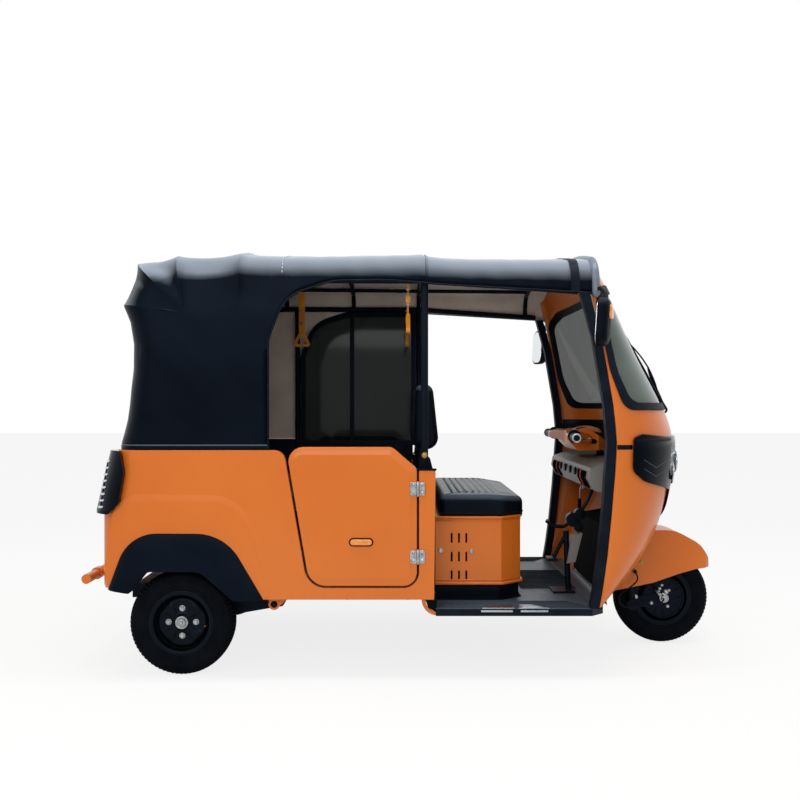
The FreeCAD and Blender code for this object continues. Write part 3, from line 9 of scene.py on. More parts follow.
import bmesh
import bpy
from bpy.types import Material, Node, NodeTree, Object
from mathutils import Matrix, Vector
from mathutils.bvhtree import BVHTree

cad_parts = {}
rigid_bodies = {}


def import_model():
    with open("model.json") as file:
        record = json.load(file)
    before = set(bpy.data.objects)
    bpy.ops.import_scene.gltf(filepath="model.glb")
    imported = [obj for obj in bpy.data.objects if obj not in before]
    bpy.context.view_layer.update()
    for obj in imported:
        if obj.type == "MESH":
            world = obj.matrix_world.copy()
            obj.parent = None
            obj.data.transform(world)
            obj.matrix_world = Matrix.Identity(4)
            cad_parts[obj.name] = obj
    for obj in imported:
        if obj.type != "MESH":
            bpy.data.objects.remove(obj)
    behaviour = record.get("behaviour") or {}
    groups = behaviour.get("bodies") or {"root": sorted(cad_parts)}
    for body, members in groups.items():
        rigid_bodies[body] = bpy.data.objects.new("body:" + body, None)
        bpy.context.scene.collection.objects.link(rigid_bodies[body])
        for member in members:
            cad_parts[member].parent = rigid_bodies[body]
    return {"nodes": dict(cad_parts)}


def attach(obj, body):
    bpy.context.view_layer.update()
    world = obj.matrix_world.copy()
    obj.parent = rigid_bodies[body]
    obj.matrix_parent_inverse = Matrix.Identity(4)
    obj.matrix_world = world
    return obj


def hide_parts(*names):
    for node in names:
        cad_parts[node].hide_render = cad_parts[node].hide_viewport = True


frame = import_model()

log = logging.getLogger("auto_rickshaw")
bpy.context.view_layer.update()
MM = 0.001
FRONT_AXLE = 1099.5
REAR_AXLE = -890.5
TYRE_RADIUS = 202.0

Row = list[Vector]


def at(x: float, y: float, z: float) -> Vector:
    """A point given in millimetres."""
    return Vector((x, y, z)) * MM


def blend(low: float, high: float, value: float) -> float:
    """A soft step from 0 at low to 1 at high."""
    t = min(1.0, max(0.0, (value - low) / (high - low)))
    return t * t * (3 - 2 * t)


def along(table: Sequence[tuple[float, float]], value: float) -> float:
    """Reads a table of (place, value) rows with straight lines between them.

    Args:
        table: rows sorted by place.
        value: the place to read at.

    Returns:
        The value there, held level beyond both ends.
    """
    if value <= table[0][0]:
        return table[0][1]
    for (a, x), (b, y) in zip(table, table[1:]):
        if value <= b:
            return x + (y - x) * (value - a) / (b - a)
    return table[-1][1]


# Stage: camera, light, floor

@dataclass
class Studio:
    """A plain pale floor, soft light and the camera of the photograph."""

    camera_place: tuple[float, float, float] = (-48.5, -4250.0, 1045.0)
    lens_mm: float = 43.2
    shift_up: float = 0.005
    sky: float = 0.62
    overhead_place: tuple[float, float, float] = (0.2, -0.9, 4.2)
    overhead_size: tuple[float, float] = (4.8, 0.9)
    overhead_watts: float = 105.0
    side_place: tuple[float, float, float] = (-1.2, -4.6, 2.6)
    side_size: tuple[float, float] = (3.5, 2.0)
    side_watts: float = 56.0
    aim_height: float = 0.7
    floor_reach: float = 30.0
    floor_white: float = 0.82

    def camera(self) -> None:
        """Stands the camera level at the vehicle's right."""
        data = bpy.data.cameras.new("camera")
        data.lens = self.lens_mm
        data.sensor_width = 36
        data.shift_y = self.shift_up
        made = bpy.data.objects.new("camera", data)
        made.location = at(*self.camera_place)
        made.rotation_euler = (math.radians(90), 0, 0)
        bpy.context.scene.collection.objects.link(made)
        bpy.context.scene.camera = made

    def lamp(self, name: str, place: Vector, size: tuple[float, float], watts: float) -> None:
        """Hangs a soft box that faces the vehicle.

        Args:
            name: the lamp's name.
            place: its middle.
            size: its width and height in metres.
            watts: its power.
        """
        data = bpy.data.lights.new(name, "AREA")
        data.shape = "RECTANGLE"
        data.size, data.size_y = size
        data.energy = watts
        made = bpy.data.objects.new(name, data)
        made.location = place
        made.rotation_euler = (Vector((0, 0, self.aim_height)) - place).to_track_quat("-Z", "Y").to_euler()
        bpy.context.scene.collection.objects.link(made)

    def backdrop(self) -> None:
        """Makes the floor and the white surround."""
        material = bpy.data.materials.new("studio_floor")
        material.use_nodes = True
        tree = material.node_tree
        tree.nodes.clear()
        path = add(tree, "ShaderNodeLightPath")
        matt = add(tree, "ShaderNodeBsdfDiffuse", values={"Color": colour("f2f2f0")})
        glow = add(tree, "ShaderNodeEmission", values={"Color": colour("ffffff")})
        half = add(tree, "ShaderNodeMath", {"operation": "MULTIPLY"}, {1: self.floor_white},
                   {0: path.outputs["Is Camera Ray"]})
        mix = add(tree, "ShaderNodeMixShader", links={0: half.outputs[0], 1: matt.outputs[0],
                                                      2: glow.outputs[0]})
        add(tree, "ShaderNodeOutputMaterial", links={"Surface": mix.outputs[0]})
        mesh = bpy.data.meshes.new("floor")
        reach = self.floor_reach
        mesh.from_pydata([(-reach, -reach, 0), (reach, -reach, 0), (reach, reach, 0), (-reach, reach, 0)],
                         [], [(0, 1, 2, 3)])
        floor = bpy.data.objects.new("floor", mesh)
        mesh.materials.append(material)
        bpy.context.scene.collection.objects.link(floor)

        world = bpy.data.worlds.new("studio")
        bpy.context.scene.world = world
        world.use_nodes = True
        tree = world.node_tree
        tree.nodes.clear()
        path = add(tree, "ShaderNodeLightPath")
        seen = add(tree, "ShaderNodeMath", {"operation": "MAXIMUM"}, links={
            0: path.outputs["Is Camera Ray"], 1: path.outputs["Is Transmission Ray"]})
        shine = add(tree, "ShaderNodeMath", {"operation": "MAXIMUM"}, links={
            0: seen.outputs[0], 1: path.outputs["Is Glossy Ray"]})
        level = add(tree, "ShaderNodeMapRange", values={"To Min": self.sky, "To Max": 1.0},
                    links={"Value": shine.outputs[0]})
        back = add(tree, "ShaderNodeBackground", values={"Color": colour("ffffff")},
                   links={"Strength": level.outputs[0]})
        add(tree, "ShaderNodeOutputWorld", links={"Surface": back.outputs[0]})

    def build(self) -> None:
        """Sets the view and the light, then the floor."""
        bpy.context.scene.view_settings.view_transform = "Standard"
        self.camera()
        self.lamp("overhead", Vector(self.overhead_place), self.overhead_size, self.overhead_watts)
        self.lamp("side", Vector(self.side_place), self.side_size, self.side_watts)
        self.backdrop()


# Finishes

def colour(code: str) -> tuple[float, float, float, float]:
    """Turns an sRGB hex code to linear light.

    Args:
        code: six hex digits.

    Returns:
        Linear red, green and blue, with an alpha of 1.
    """
    parts = [int(code[i:i + 2], 16) / 255 for i in (0, 2, 4)]
    linear = [p / 12.92 if p <= 0.04045 else ((p + 0.055) / 1.055) ** 2.4 for p in parts]
    return (*linear, 1.0)


def add(tree: NodeTree, kind: str, settings: dict | None = None, values: dict | None = None,
        links: dict | None = None) -> Node:
    """Adds one node.

    Args:
        tree: the node tree.
        kind: the node's type.
        settings: attributes of the node.
        values: inputs by name or number, and what they are set to.
        links: inputs by name or number, and the outputs that feed them.

    Returns:
        The new node.
    """
    made = tree.nodes.new(kind)
    for key, value in (settings or {}).items():
        setattr(made, key, value)
    for key, value in (values or {}).items():
        made.inputs[key].default_value = value
    for key, source in (links or {}).items():
        tree.links.new(source, made.inputs[key])
    return made


class Grain(Enum):
    """How a surface is broken up at close range."""

    PEEL = "sprayed"
    HIDE = "embossed like leather"
    PIMPLED = "moulded with fine pimples"
    CAST = "cast or powdery"
    BRUSHED = "brushed along the car"
    WOVEN = "woven"
    CLEAR = "smooth"


@dataclass(frozen=True)
class Finish:
    """One real material: its colours, gloss and grain, with sizes in millimetres."""

    name: str
    slot: str
    main: str
    second: str
    patch_mm: float
    grain: Grain
    grain_mm: float
    depth_mm: float
    roughness: float
    spread: float = 0.08
    metallic: float = 0.0
    coat: float = 0.0
    sheen: float = 0.0
    specular: float = 0.5
    clear: float = 0.0
    alpha: float = 1.0
    glow: float = 0.0
    worn: str = ""
    # A pale colour mixed into faces that point up, and its largest share: painted sky sheen on cloth, paler
    # tops on the tray
    dust_and_sheen: str = ""
    dust_and_sheen_amount: float = 0.5
    tint: str = "ffffff"
    edge_mm: float = 1.5
    chip_mm: float = 9.0
    coat_roughness: float = 0.06
    sheen_roughness: float = 0.4

    def bump(self, tree: NodeTree, place: Node, soft: Node) -> Node:
        """Adds the grain as bump on top of the softened edges.

        Args:
            tree: the material's tree.
            place: the texture coordinate node.
            soft: the node that rounds the edges.

        Returns:
            The bump node.
        """
        size = 1000 / self.grain_mm
        spot = place.outputs["Object"]
        if self.grain is Grain.HIDE:
            cells = add(tree, "ShaderNodeTexVoronoi", {"feature": "DISTANCE_TO_EDGE"}, {"Scale": size},
                        {"Vector": spot})
            height = cells.outputs["Distance"]
        elif self.grain is Grain.BRUSHED:
            squeeze = add(tree, "ShaderNodeMapping", values={"Scale": (size * 0.04, size, size)},
                          links={"Vector": spot})
            lines = add(tree, "ShaderNodeTexNoise", values={"Scale": 1.0, "Detail": 3.0},
                        links={"Vector": squeeze.outputs[0]})
            height = lines.outputs["Fac"]
        elif self.grain is Grain.WOVEN:
            warp = add(tree, "ShaderNodeTexWave", {"bands_direction": "X"},
                       {"Scale": size * 0.5, "Distortion": 0.4}, {"Vector": spot})
            weft = add(tree, "ShaderNodeTexWave", {"bands_direction": "Y"},
                       {"Scale": size * 0.5, "Distortion": 0.4}, {"Vector": spot})
            cross = add(tree, "ShaderNodeMath", {"operation": "MULTIPLY"},
                        links={0: warp.outputs["Fac"], 1: weft.outputs["Fac"]})
            height = cross.outputs[0]
        else:
            detail = {Grain.PEEL: 1.0, Grain.PIMPLED: 0.0, Grain.CAST: 5.0, Grain.CLEAR: 0.0}[self.grain]
            cloud = add(tree, "ShaderNodeTexNoise", values={"Scale": size, "Detail": detail},
                        links={"Vector": spot})
            height = cloud.outputs["Fac"]
        return add(tree, "ShaderNodeBump", values={"Strength": 1.0, "Distance": self.depth_mm * MM},
                   links={"Height": height, "Normal": soft.outputs[0]})

    def build(self) -> Material:
        """Makes the node material.

        Returns:
            The material, ready to be given to a piece.
        """
        material = bpy.data.materials.new(self.name)
        material.use_nodes = True
        tree = material.node_tree
        tree.nodes.clear()
        place = add(tree, "ShaderNodeTexCoord")
        soft = add(tree, "ShaderNodeBevel", {"samples": 4}, {"Radius": self.edge_mm * MM})
        cloud = add(tree, "ShaderNodeTexNoise", values={"Scale": 1000 / self.patch_mm, "Detail": 4.0},
                    links={"Vector": place.outputs["Object"]})
        shift = add(tree, "ShaderNodeMapRange", values={"From Min": 0.35, "From Max": 0.65},
                    links={"Value": cloud.outputs["Fac"]})
        tone = add(tree, "ShaderNodeMix", {"data_type": "RGBA"},
                   {6: colour(self.main), 7: colour(self.second)}, {0: shift.outputs[0]})
        skin = tone.outputs[2]
        if self.worn:
            sharp = add(tree, "ShaderNodeNewGeometry")
            turn = add(tree, "ShaderNodeVectorMath", {"operation": "DOT_PRODUCT"},
                       links={0: sharp.outputs["Normal"], 1: soft.outputs[0]})
            edge = add(tree, "ShaderNodeMapRange", values={"From Min": 0.985, "From Max": 0.86},
                       links={"Value": turn.outputs["Value"]})
            chips = add(tree, "ShaderNodeTexNoise", values={"Scale": 1000 / self.chip_mm, "Detail": 6.0},
                        links={"Vector": place.outputs["Object"]})
            chosen = add(tree, "ShaderNodeMapRange", values={"From Min": 0.5, "From Max": 0.62},
                         links={"Value": chips.outputs["Fac"]})
            both = add(tree, "ShaderNodeMath", {"operation": "MULTIPLY"},
                       links={0: edge.outputs[0], 1: chosen.outputs[0]})
            rubbed = add(tree, "ShaderNodeMix", {"data_type": "RGBA"}, {7: colour(self.worn)},
                         {0: both.outputs[0], 6: skin})
            skin = rubbed.outputs[2]
        # Faces that point up are mixed toward a pale colour: a painted sheen of the sky on the hood and seat
        # cloth; on the floor tray the upward faces turn paler
        if self.dust_and_sheen:
            facing = add(tree, "ShaderNodeSeparateXYZ", links={0: soft.outputs[0]})
            dust_and_sheen_mask = add(tree, "ShaderNodeMapRange",
                          values={"From Min": 0.18, "From Max": 1.0, "To Max": self.dust_and_sheen_amount},
                          links={"Value": facing.outputs["Z"]})
            dust_and_sheen_mix = add(tree, "ShaderNodeMix", {"data_type": "RGBA"}, {7: colour(self.dust_and_sheen)},
                         {0: dust_and_sheen_mask.outputs[0], 6: skin})
            skin = dust_and_sheen_mix.outputs[2]
        smears = add(tree, "ShaderNodeTexNoise",
                     values={"Scale": 1000 / (self.patch_mm * 0.4), "Detail": 5.0},
                     links={"Vector": place.outputs["Object"]})
        rough = add(tree, "ShaderNodeMapRange",
                    values={"To Min": max(0.02, self.roughness - self.spread),
                            "To Max": min(1.0, self.roughness + self.spread)},
                    links={"Value": smears.outputs["Fac"]})
        bump = self.bump(tree, place, soft)
        values = {"Metallic": self.metallic, "Coat Weight": self.coat,
                  "Coat Roughness": self.coat_roughness,
                  "Sheen Weight": self.sheen, "Sheen Roughness": self.sheen_roughness,
                  "Transmission Weight": self.clear,
                  "Alpha": self.alpha, "Specular IOR Level": self.specular,
                  "Emission Strength": self.glow, "Specular Tint": colour(self.tint)}
        if self.glow:
            values["Emission Color"] = colour(self.main)
        shader = add(tree, "ShaderNodeBsdfPrincipled", values=values,
                     links={"Base Color": skin, "Roughness": rough.outputs[0],
                            "Normal": bump.outputs[0]})
        add(tree, "ShaderNodeOutputMaterial", links={"Surface": shader.outputs[0]})
        return material


class Look(Enum):
    """The vehicle's finishes."""

    # Two-coat orange enamel, sprayed and baked: deep colour, sharp reflections, faint orange peel
    ENAMEL = Finish("orange_enamel", "orange_paint", "cf6a20", "d47026", 420, Grain.PEEL, 14, 0.05,
                    0.3, 0.05, coat=0.25, specular=0.2, worn="9a4a1c", edge_mm=4.0)
    # PVC-coated polyester cloth for the hood: near black, with a painted pale sheen of the sky on faces that
    # point up
    HOOD = Finish("coated_hood_cloth", "canopy_vinyl", "03060d", "060b14", 260, Grain.HIDE, 5, 0.12,
                  0.36, 0.07, sheen=0.05, specular=0.12, dust_and_sheen="b4c0ce", dust_and_sheen_amount=0.62, tint="8fa8c8")
    # Napped lining cloth under the hood: brown grey and matt, its colour painted far paler to make up for the
    # shade it hangs in
    LINING = Finish("napped_lining", "canopy_vinyl", "f0e4da", "dccfc4", 180, Grain.WOVEN, 3, 0.15,
                    0.92, 0.05, sheen=0.3)
    # Embossed PVC seat leathercloth over foam: black, satin, with a fine hide grain and a painted pale sheen
    # on its top
    LEATHERCLOTH = Finish("seat_leathercloth", "seat_vinyl", "070a10", "0b0f17", 150, Grain.HIDE, 4, 0.15,
                          0.34, 0.06, specular=0.15, dust_and_sheen="8d9cae", dust_and_sheen_amount=0.45, tint="8fa8c8")
    # Injection-moulded polypropylene of the wheel flares: dark slate grey, matt, fine pimples
    FLARE = Finish("moulded_polypropylene", "grey_plastic", "080c14", "0d131c", 300, Grain.PIMPLED, 3,
                   0.1, 0.62, 0.06, specular=0.08, edge_mm=5.0, tint="8fa8c8")
    # Grey ABS of the dashboard: satin, a touch warm
    DASH = Finish("grey_abs", "grey_plastic", "6f6f6b", "797975", 200, Grain.PIMPLED, 2.5, 0.08, 0.45,
                  0.06, edge_mm=4.0)
    # Gloss black ABS of the lamp surround: deep, mirror-like
    GLOSS_BLACK = Finish("gloss_black_abs", "black_plastic", "020306", "04060b", 300, Grain.PEEL, 20,
                         0.03, 0.16, 0.04, coat=0.0, edge_mm=3.0, specular=0.12, tint="8fa8c8")
    # Black moulded plastic with a satin skin
    SATIN_BLACK = Finish("satin_black_plastic", "black_plastic", "07090d", "0b0f15", 120, Grain.PIMPLED,
                         2, 0.06, 0.46, 0.07, specular=0.1, tint="8fa8c8")
    # Black stoved paint on steel tube: satin, rubbed grey at the edges
    BLACK_STEEL = Finish("black_stoved_steel", "black_steel", "0b0e13", "11151c", 160, Grain.PEEL, 6,
                         0.05, 0.38, 0.08, worn="55585c", edge_mm=1.0, specular=0.15, tint="8fa8c8")
    # Black EPDM rubber sections: dull, slightly bloomed
    RUBBER = Finish("epdm_rubber", "black_rubber", "0d1016", "151922", 90, Grain.CAST, 3, 0.06, 0.55,
                    0.08, edge_mm=3.0, specular=0.15, tint="8fa8c8")
    # Vulcanised tyre rubber: carbon black, matt, dusty in patches
    TYRE = Finish("tyre_rubber", "tyre_rubber", "060709", "0c0d10", 60, Grain.CAST, 4, 0.12, 0.68, 0.1,
                  specular=0.1, edge_mm=1.0, tint="8fa8c8")
    # Bright zinc-plated steel of bolts and hinges
    ZINC = Finish("zinc_plated_steel", "bare_steel", "b9babd", "8f9195", 12, Grain.CAST, 1.5, 0.05, 0.3,
                  0.1, metallic=1.0)
    # Machined steel of shafts and pins: greyer, oily
    STEEL = Finish("machined_steel", "bare_steel", "6d7074", "50545a", 40, Grain.BRUSHED, 2, 0.04, 0.35,
                   0.1, metallic=1.0)
    # Sand-cast aluminium of the engine and hub parts: pale, grainy
    CAST = Finish("sand_cast_aluminium", "cast_aluminium", "8b8e92", "717479", 70, Grain.CAST, 2.5, 0.2,
                  0.5, 0.1, metallic=0.9)
    # Rolled aluminium of tread plates and strips: brushed along the car
    ALUMINIUM = Finish("rolled_aluminium", "cast_aluminium", "b4bac2", "99a0a8", 120, Grain.BRUSHED, 1.5,
                       0.03, 0.3, 0.08, metallic=1.0)
    # Moulded acetal of the hand straps: amber orange, waxy
    STRAP = Finish("amber_acetal", "orange_plastic", "dc8c14", "e8981c", 60, Grain.CLEAR, 8, 0.02, 0.35,
                   0.05, specular=0.45)
    # Amber acrylic of reflectors and indicators
    AMBER = Finish("amber_acrylic", "orange_plastic", "e8862a", "f0a04a", 20, Grain.CLEAR, 6, 0.02, 0.14,
                   0.03, coat=0.5)
    # Chromed reflector bowls and rings
    CHROME = Finish("chromed_abs", "mirror_glass", "dfe2e6", "cfd3d8", 60, Grain.CLEAR, 30, 0.01, 0.06,
                    0.03, metallic=1.0)
    # Silvered glass of the mirrors
    MIRROR = Finish("silvered_glass", "mirror_glass", "e6e9ec", "e2e6ea", 400, Grain.CLEAR, 100, 0.002,
                    0.03, 0.01, metallic=1.0)
    # Clear toughened glass of the windscreen, with a faint green edge tint
    GLASS = Finish("toughened_glass", "clear_glass", "55625b", "65726b", 300, Grain.CLEAR, 300, 0.01,
                   0.05, 0.02, alpha=0.7, specular=0.3)
    # Tinted sliding panes: dark bottle green
    TINTED = Finish("tinted_glass", "clear_glass", "101a1a", "1c2a28", 260, Grain.CLEAR, 200, 0.02,
                    0.06, 0.03, alpha=0.93, specular=0.15)
    # Clear polycarbonate of the headlamp lenses
    LENS = Finish("clear_polycarbonate", "clear_glass", "dfe6ea", "d0d8de", 60, Grain.CLEAR, 25, 0.05,
                  0.08, 0.03, alpha=0.35, specular=0.6)
    # Smoked acrylic of the tail lamps: almost black, very glossy
    SMOKED = Finish("smoked_acrylic", "smoked_plastic", "020306", "04060a", 200, Grain.CLEAR, 60, 0.02,
                    0.1, 0.03, coat=0.0, specular=0.15, tint="8fa8c8")
    # The light bar behind the smoked acrylic, frosted
    FROSTED = Finish("frosted_acrylic", "smoked_plastic", "b9c2cb", "d8dee4", 14, Grain.CLEAR, 5, 0.05,
                     0.3, 0.05)
    # The hood cloth's rolled front edge: glossy, painted pale blue grey for the sky reflected along it
    ROLL_SHEEN = Finish("hood_roll_painted_sheen", "canopy_vinyl", "6d7784", "596370", 40, Grain.HIDE, 5, 0.08, 0.35, 0.08,
                  specular=0.4)
    # Black pressed rim: satin stoved enamel, deeper than the frame's
    RIM = Finish("stoved_rim_enamel", "black_steel", "07090c", "0b0e12", 120, Grain.PEEL, 8, 0.04, 0.3, 0.06,
                 specular=0.2, edge_mm=2.0, tint="8fa8c8")
    # Turned brass of the valves and fender bolt
    BRASS = Finish("turned_brass", "bare_steel", "b08a4a", "96733a", 12, Grain.CAST, 2, 0.03, 0.3, 0.08,
                   metallic=1.0)
    # Matt near black: painted shade inside the seat box vents, the dashboard's slots and the wheel housing
    SHADOW = Finish("matt_black_painted_shade", "black_plastic", "020203", "040405", 40, Grain.CAST, 3, 0.05,
                    0.9, 0.05, specular=0.05)
    # Black chequered rubber mat and tray: scuffed, and mixed paler grey blue on its upward faces
    TRAY = Finish("scuffed_floor_tray", "black_steel", "090c12", "10151d", 70, Grain.PIMPLED, 5, 0.2, 0.4,
                  0.12, specular=0.25, dust_and_sheen="6d7682", dust_and_sheen_amount=0.4, edge_mm=3.0, tint="8fa8c8")
    # Printed dark grey lines on the lamp surround
    INK = Finish("dark_grey_ink", "black_plastic", "2b323b", "333b45", 20, Grain.CAST, 2, 0.02, 0.4, 0.05,
                 specular=0.2)
    # Red ABS of the hazard slot
    RED = Finish("red_abs", "orange_plastic", "a3201a", "b02a20", 30, Grain.PIMPLED, 2, 0.04, 0.4, 0.05)
    # Waxed polyester thread and pale webbing
    THREAD = Finish("pale_thread", "canopy_vinyl", "d9dee6", "c5ccd6", 8, Grain.WOVEN, 2, 0.1, 0.7, 0.05)


class Paintbox:
    """Makes each finish once and hands it out."""

    made: dict[Look, Material] = {}

    @classmethod
    def get(cls, look: Look) -> Material:
        """Gives a finish's material.

        Args:
            look: the finish.

        Returns:
            Its one material.
        """
        if look not in cls.made:
            cls.made[look] = look.value.build()
        return cls.made[look]


# Shapes

@dataclass
class Solid:
    """Points and faces of one mesh while it is being made."""

    points: list[Vector] = field(default_factory=list)
    faces: list[tuple[int, ...]] = field(default_factory=list)

    def grid(self, rows: Sequence[Row], wrap_rows: bool = False, wrap_columns: bool = False,
             skip: Callable[[Vector], bool] | None = None) -> "Solid":
        """Adds a net of four-sided faces.

        Args:
            rows: rows of points, all of one length.
            wrap_rows: joins the last row to the first.
            wrap_columns: joins the end of each row to its start.
            skip: leaves out the faces whose middle it accepts.

        Returns:
            This solid.
        """
        start = len(self.points)
        wide = len(rows[0])
        for row in rows:
            self.points.extend(row)
        for i in range(len(rows) - (0 if wrap_rows else 1)):
            for j in range(wide - (0 if wrap_columns else 1)):
                below, above = i * wide, (i + 1) % len(rows) * wide
                right = (j + 1) % wide
                face = (below + j, below + right, above + right, above + j)
                if skip:
                    middle = sum((self.points[start + n] for n in face), Vector()) / 4
                    if skip(middle):
                        continue
                self.faces.append(tuple(start + n for n in face))
        return self

    def ring_cap(self, row: Row) -> "Solid":
        """Closes a ring of points with one face.

        Args:
            row: the ring.

        Returns:
            This solid.
        """
        start = len(self.points)
        self.points.extend(row)
        self.faces.append(tuple(range(start, start + len(row))))
        return self

    def tube(self, points: Sequence[Vector], radius: float, sides: int = 10, closed: bool = False,
             flat: float = 1.0) -> "Solid":
        """Adds a bar along points, with rounded ends where it is open.

        Args:
            points: the middle line.
            radius: its radius in metres.
            sides: corners round the bar.
            closed: joins the end to the start.
            flat: the thickness as a share of the width.

        Returns:
            This solid.
        """
        count = len(points)
        runs = []
        for i in range(count):
            ahead = points[(i + 1) % count] if closed or i + 1 < count else points[i]
            behind = points[i - 1] if closed or i > 0 else points[i]
            runs.append((ahead - behind).normalized())
        side = runs[0].orthogonal().normalized()
        rows = []
        for i, here in enumerate(points):
            side = (side - runs[i] * side.dot(runs[i])).normalized()
            up = runs[i].cross(side)
            rows.append([here + (side * math.cos(a) + up * math.sin(a) * flat) * radius
                         for a in (2 * math.pi * k / sides for k in range(sides))])
        if not closed:
            for end, sign in ((0, -1), (count - 1, 1)):
                tip = [here * 0.45 + points[end] * 0.55 + runs[end] * sign * radius * 0.7
                       for here in rows[0 if sign < 0 else -1]]
                rows = [tip] + rows if sign < 0 else rows + [tip]
        self.grid(rows, wrap_rows=closed, wrap_columns=True)
        if not closed:
            self.ring_cap(rows[0][::-1])
            self.ring_cap(rows[-1])
        return self

    def turned(self, profile: Sequence[tuple[float, float]], middle: Vector, axis: Vector,
               steps: int = 32, wave: Callable[[float, float, float], tuple[float, float]] | None = None
               ) -> "Solid":
        """Adds a turned shape.

        Args:
            profile: rows of (radius, place along the axis) in millimetres.
            middle: the point of the axis at place 0.
            axis: the direction of the axis.
            steps: corners round the axis.
            wave: changes a row's radius and place by its angle, radius and place.

        Returns:
            This solid.
        """
        axis = axis.normalized()
        side = Vector((0, 0, 1)) if abs(axis.z) < 0.9 else Vector((1, 0, 0))
        side = (side - axis * side.dot(axis)).normalized()
        up = axis.cross(side)
        rows = []
        for radius, place in profile:
            row = []
            for k in range(steps):
                angle = 2 * math.pi * k / steps
                r, p = wave(angle, radius, place) if wave else (radius, place)
                row.append(middle + (side * math.cos(angle) + up * math.sin(angle)) * r * MM
                           + axis * p * MM)
            rows.append(row)
        return self.grid(rows, wrap_columns=True)

    def slab(self, corners: Sequence[Vector], thick: Vector, round_off: float = 0.0) -> "Solid":
        """Adds a plate with softened edges.

        Args:
            corners: the outline of its back.
            thick: from its back to its face.
            round_off: how far the edges are taken off, in metres.

        Returns:
            This solid.
        """
        middle = sum(corners, Vector()) / len(corners)
        depth = thick.length
        rows = [list(corners)]
        if round_off:
            for part in (0.0, 0.35, 0.75, 1.0):
                angle = part * math.pi / 2
                up = (depth - round_off + round_off * math.sin(angle)) / depth
                shift = round_off * (1 - math.cos(angle))
                rows.append([c + (middle - c).normalized() * shift + thick * up for c in corners])
        else:
            rows.append([c + thick for c in corners])
        self.grid(rows, wrap_columns=True)
        self.ring_cap(rows[0][::-1])
        return self.ring_cap(rows[-1])

    def bolt(self, place: Vector, axis: Vector, radius: float, tall: float = 0.6) -> "Solid":
        """Adds a six-sided bolt head on a washer.

        Args:
            place: the middle of its seat.
            axis: the way it points.
            radius: across half its corners, in millimetres.
            tall: the head's height as a share of its radius.

        Returns:
            This solid.
        """
        head = radius * tall
        washer = [(0, 0), (radius * 1.35, 0), (radius * 1.35, head * 0.2), (radius, head * 0.25)]
        self.turned(washer, place, axis, 24)
        body = [(radius, head * 0.2), (radius, head * 0.85), (radius * 0.86, head), (radius * 0.3, head),
                (0.01, head * 1.02)]
        return self.turned(body, place, axis, 6)

    def object(self, name: str, smooth: float = 40.0) -> Object:
        """Makes the mesh object.

        Args:
            name: the piece's name.
            smooth: edges sharper than this many degrees stay crisp.

        Returns:
            The object, linked to the scene.
        """
        mesh = bpy.data.meshes.new(name)
        mesh.from_pydata([tuple(p) for p in self.points], [], self.faces)
        work = bmesh.new()
        work.from_mesh(mesh)
        bmesh.ops.remove_doubles(work, verts=work.verts, dist=1e-5)
        bmesh.ops.recalc_face_normals(work, faces=work.faces)
        for face in work.faces:
            face.smooth = True
        for edge in work.edges:
            if len(edge.link_faces) == 2 and edge.calc_face_angle(0.0) > math.radians(smooth):
                edge.smooth = False
        work.to_mesh(mesh)
        work.free()
        made = bpy.data.objects.new(name, mesh)
        bpy.context.scene.collection.objects.link(made)
        return made


def rounded(corners: Sequence[tuple[float, ...]], steps: int = 8) -> list[tuple[float, float]]:
    """An outline whose corners (u, v, radius) are turned into arcs.

    Args:
        corners: corners in order, the radius left out where a corner is sharp.
        steps: points on each arc.

    Returns:
        The points of the closed outline.
    """
    made: list[tuple[float, float]] = []
    count = len(corners)
    for i, corner in enumerate(corners):
        here = Vector(corner[:2])
        radius = corner[2] if len(corner) > 2 else 0.0
        if not radius:
            made.append(tuple(here))
            continue
        back = (Vector(corners[i - 1][:2]) - here).normalized()
        ahead = (Vector(corners[(i + 1) % count][:2]) - here).normalized()
        half = back.angle(ahead) / 2
        middle = here + (back + ahead).normalized() * (radius / math.sin(half))
        start = here + back * (radius / math.tan(half)) - middle
        stop = here + ahead * (radius / math.tan(half)) - middle
        sweep = start.angle_signed(stop)
        for k in range(steps + 1):
            a = -sweep * k / steps
            made.append((middle.x + start.x * math.cos(a) - start.y * math.sin(a),
                         middle.y + start.x * math.sin(a) + start.y * math.cos(a)))
    return made


def spread(points: Sequence[Vector], count: int) -> Row:
    """Points at even distances along a line.

    Args:
        points: the line's corners.
        count: how many points are wanted.

    Returns:
        The even points, with both ends kept.
    """
    reach = [0.0]
    for a, b in zip(points, points[1:]):
        reach.append(reach[-1] + (b - a).length)
    made, i = [], 0
    for k in range(count):
        want = reach[-1] * k / (count - 1)
        while i < len(points) - 2 and reach[i + 1] < want:
            i += 1
        span = reach[i + 1] - reach[i]
        t = (want - reach[i]) / span if span else 0.0
        made.append(points[i].lerp(points[i + 1], min(1.0, t)))
    return made


def curved(points: Sequence[Vector], count: int) -> Row:
    """A smooth line through points.

    Args:
        points: the points it passes.
        count: how many points are wanted.

    Returns:
        Even points on the smooth line.
    """
    ends = [points[0] * 2 - points[1]] + list(points) + [points[-1] * 2 - points[-2]]
    dense = []
    for a, b, c, d in zip(ends, ends[1:], ends[2:], ends[3:]):
        for k in range(12):
            t = k / 12
            dense.append(0.5 * (2 * b + (c - a) * t + (2 * a - 5 * b + 4 * c - d) * t * t
                                + (3 * b - a - 3 * c + d) * t ** 3))
    dense.append(points[-1])
    return spread(dense, count)


def mirror(points: Sequence[Vector]) -> Row:
    """The points across the vehicle's middle plane."""
    return [Vector((p.x, -p.y, p.z)) for p in points]


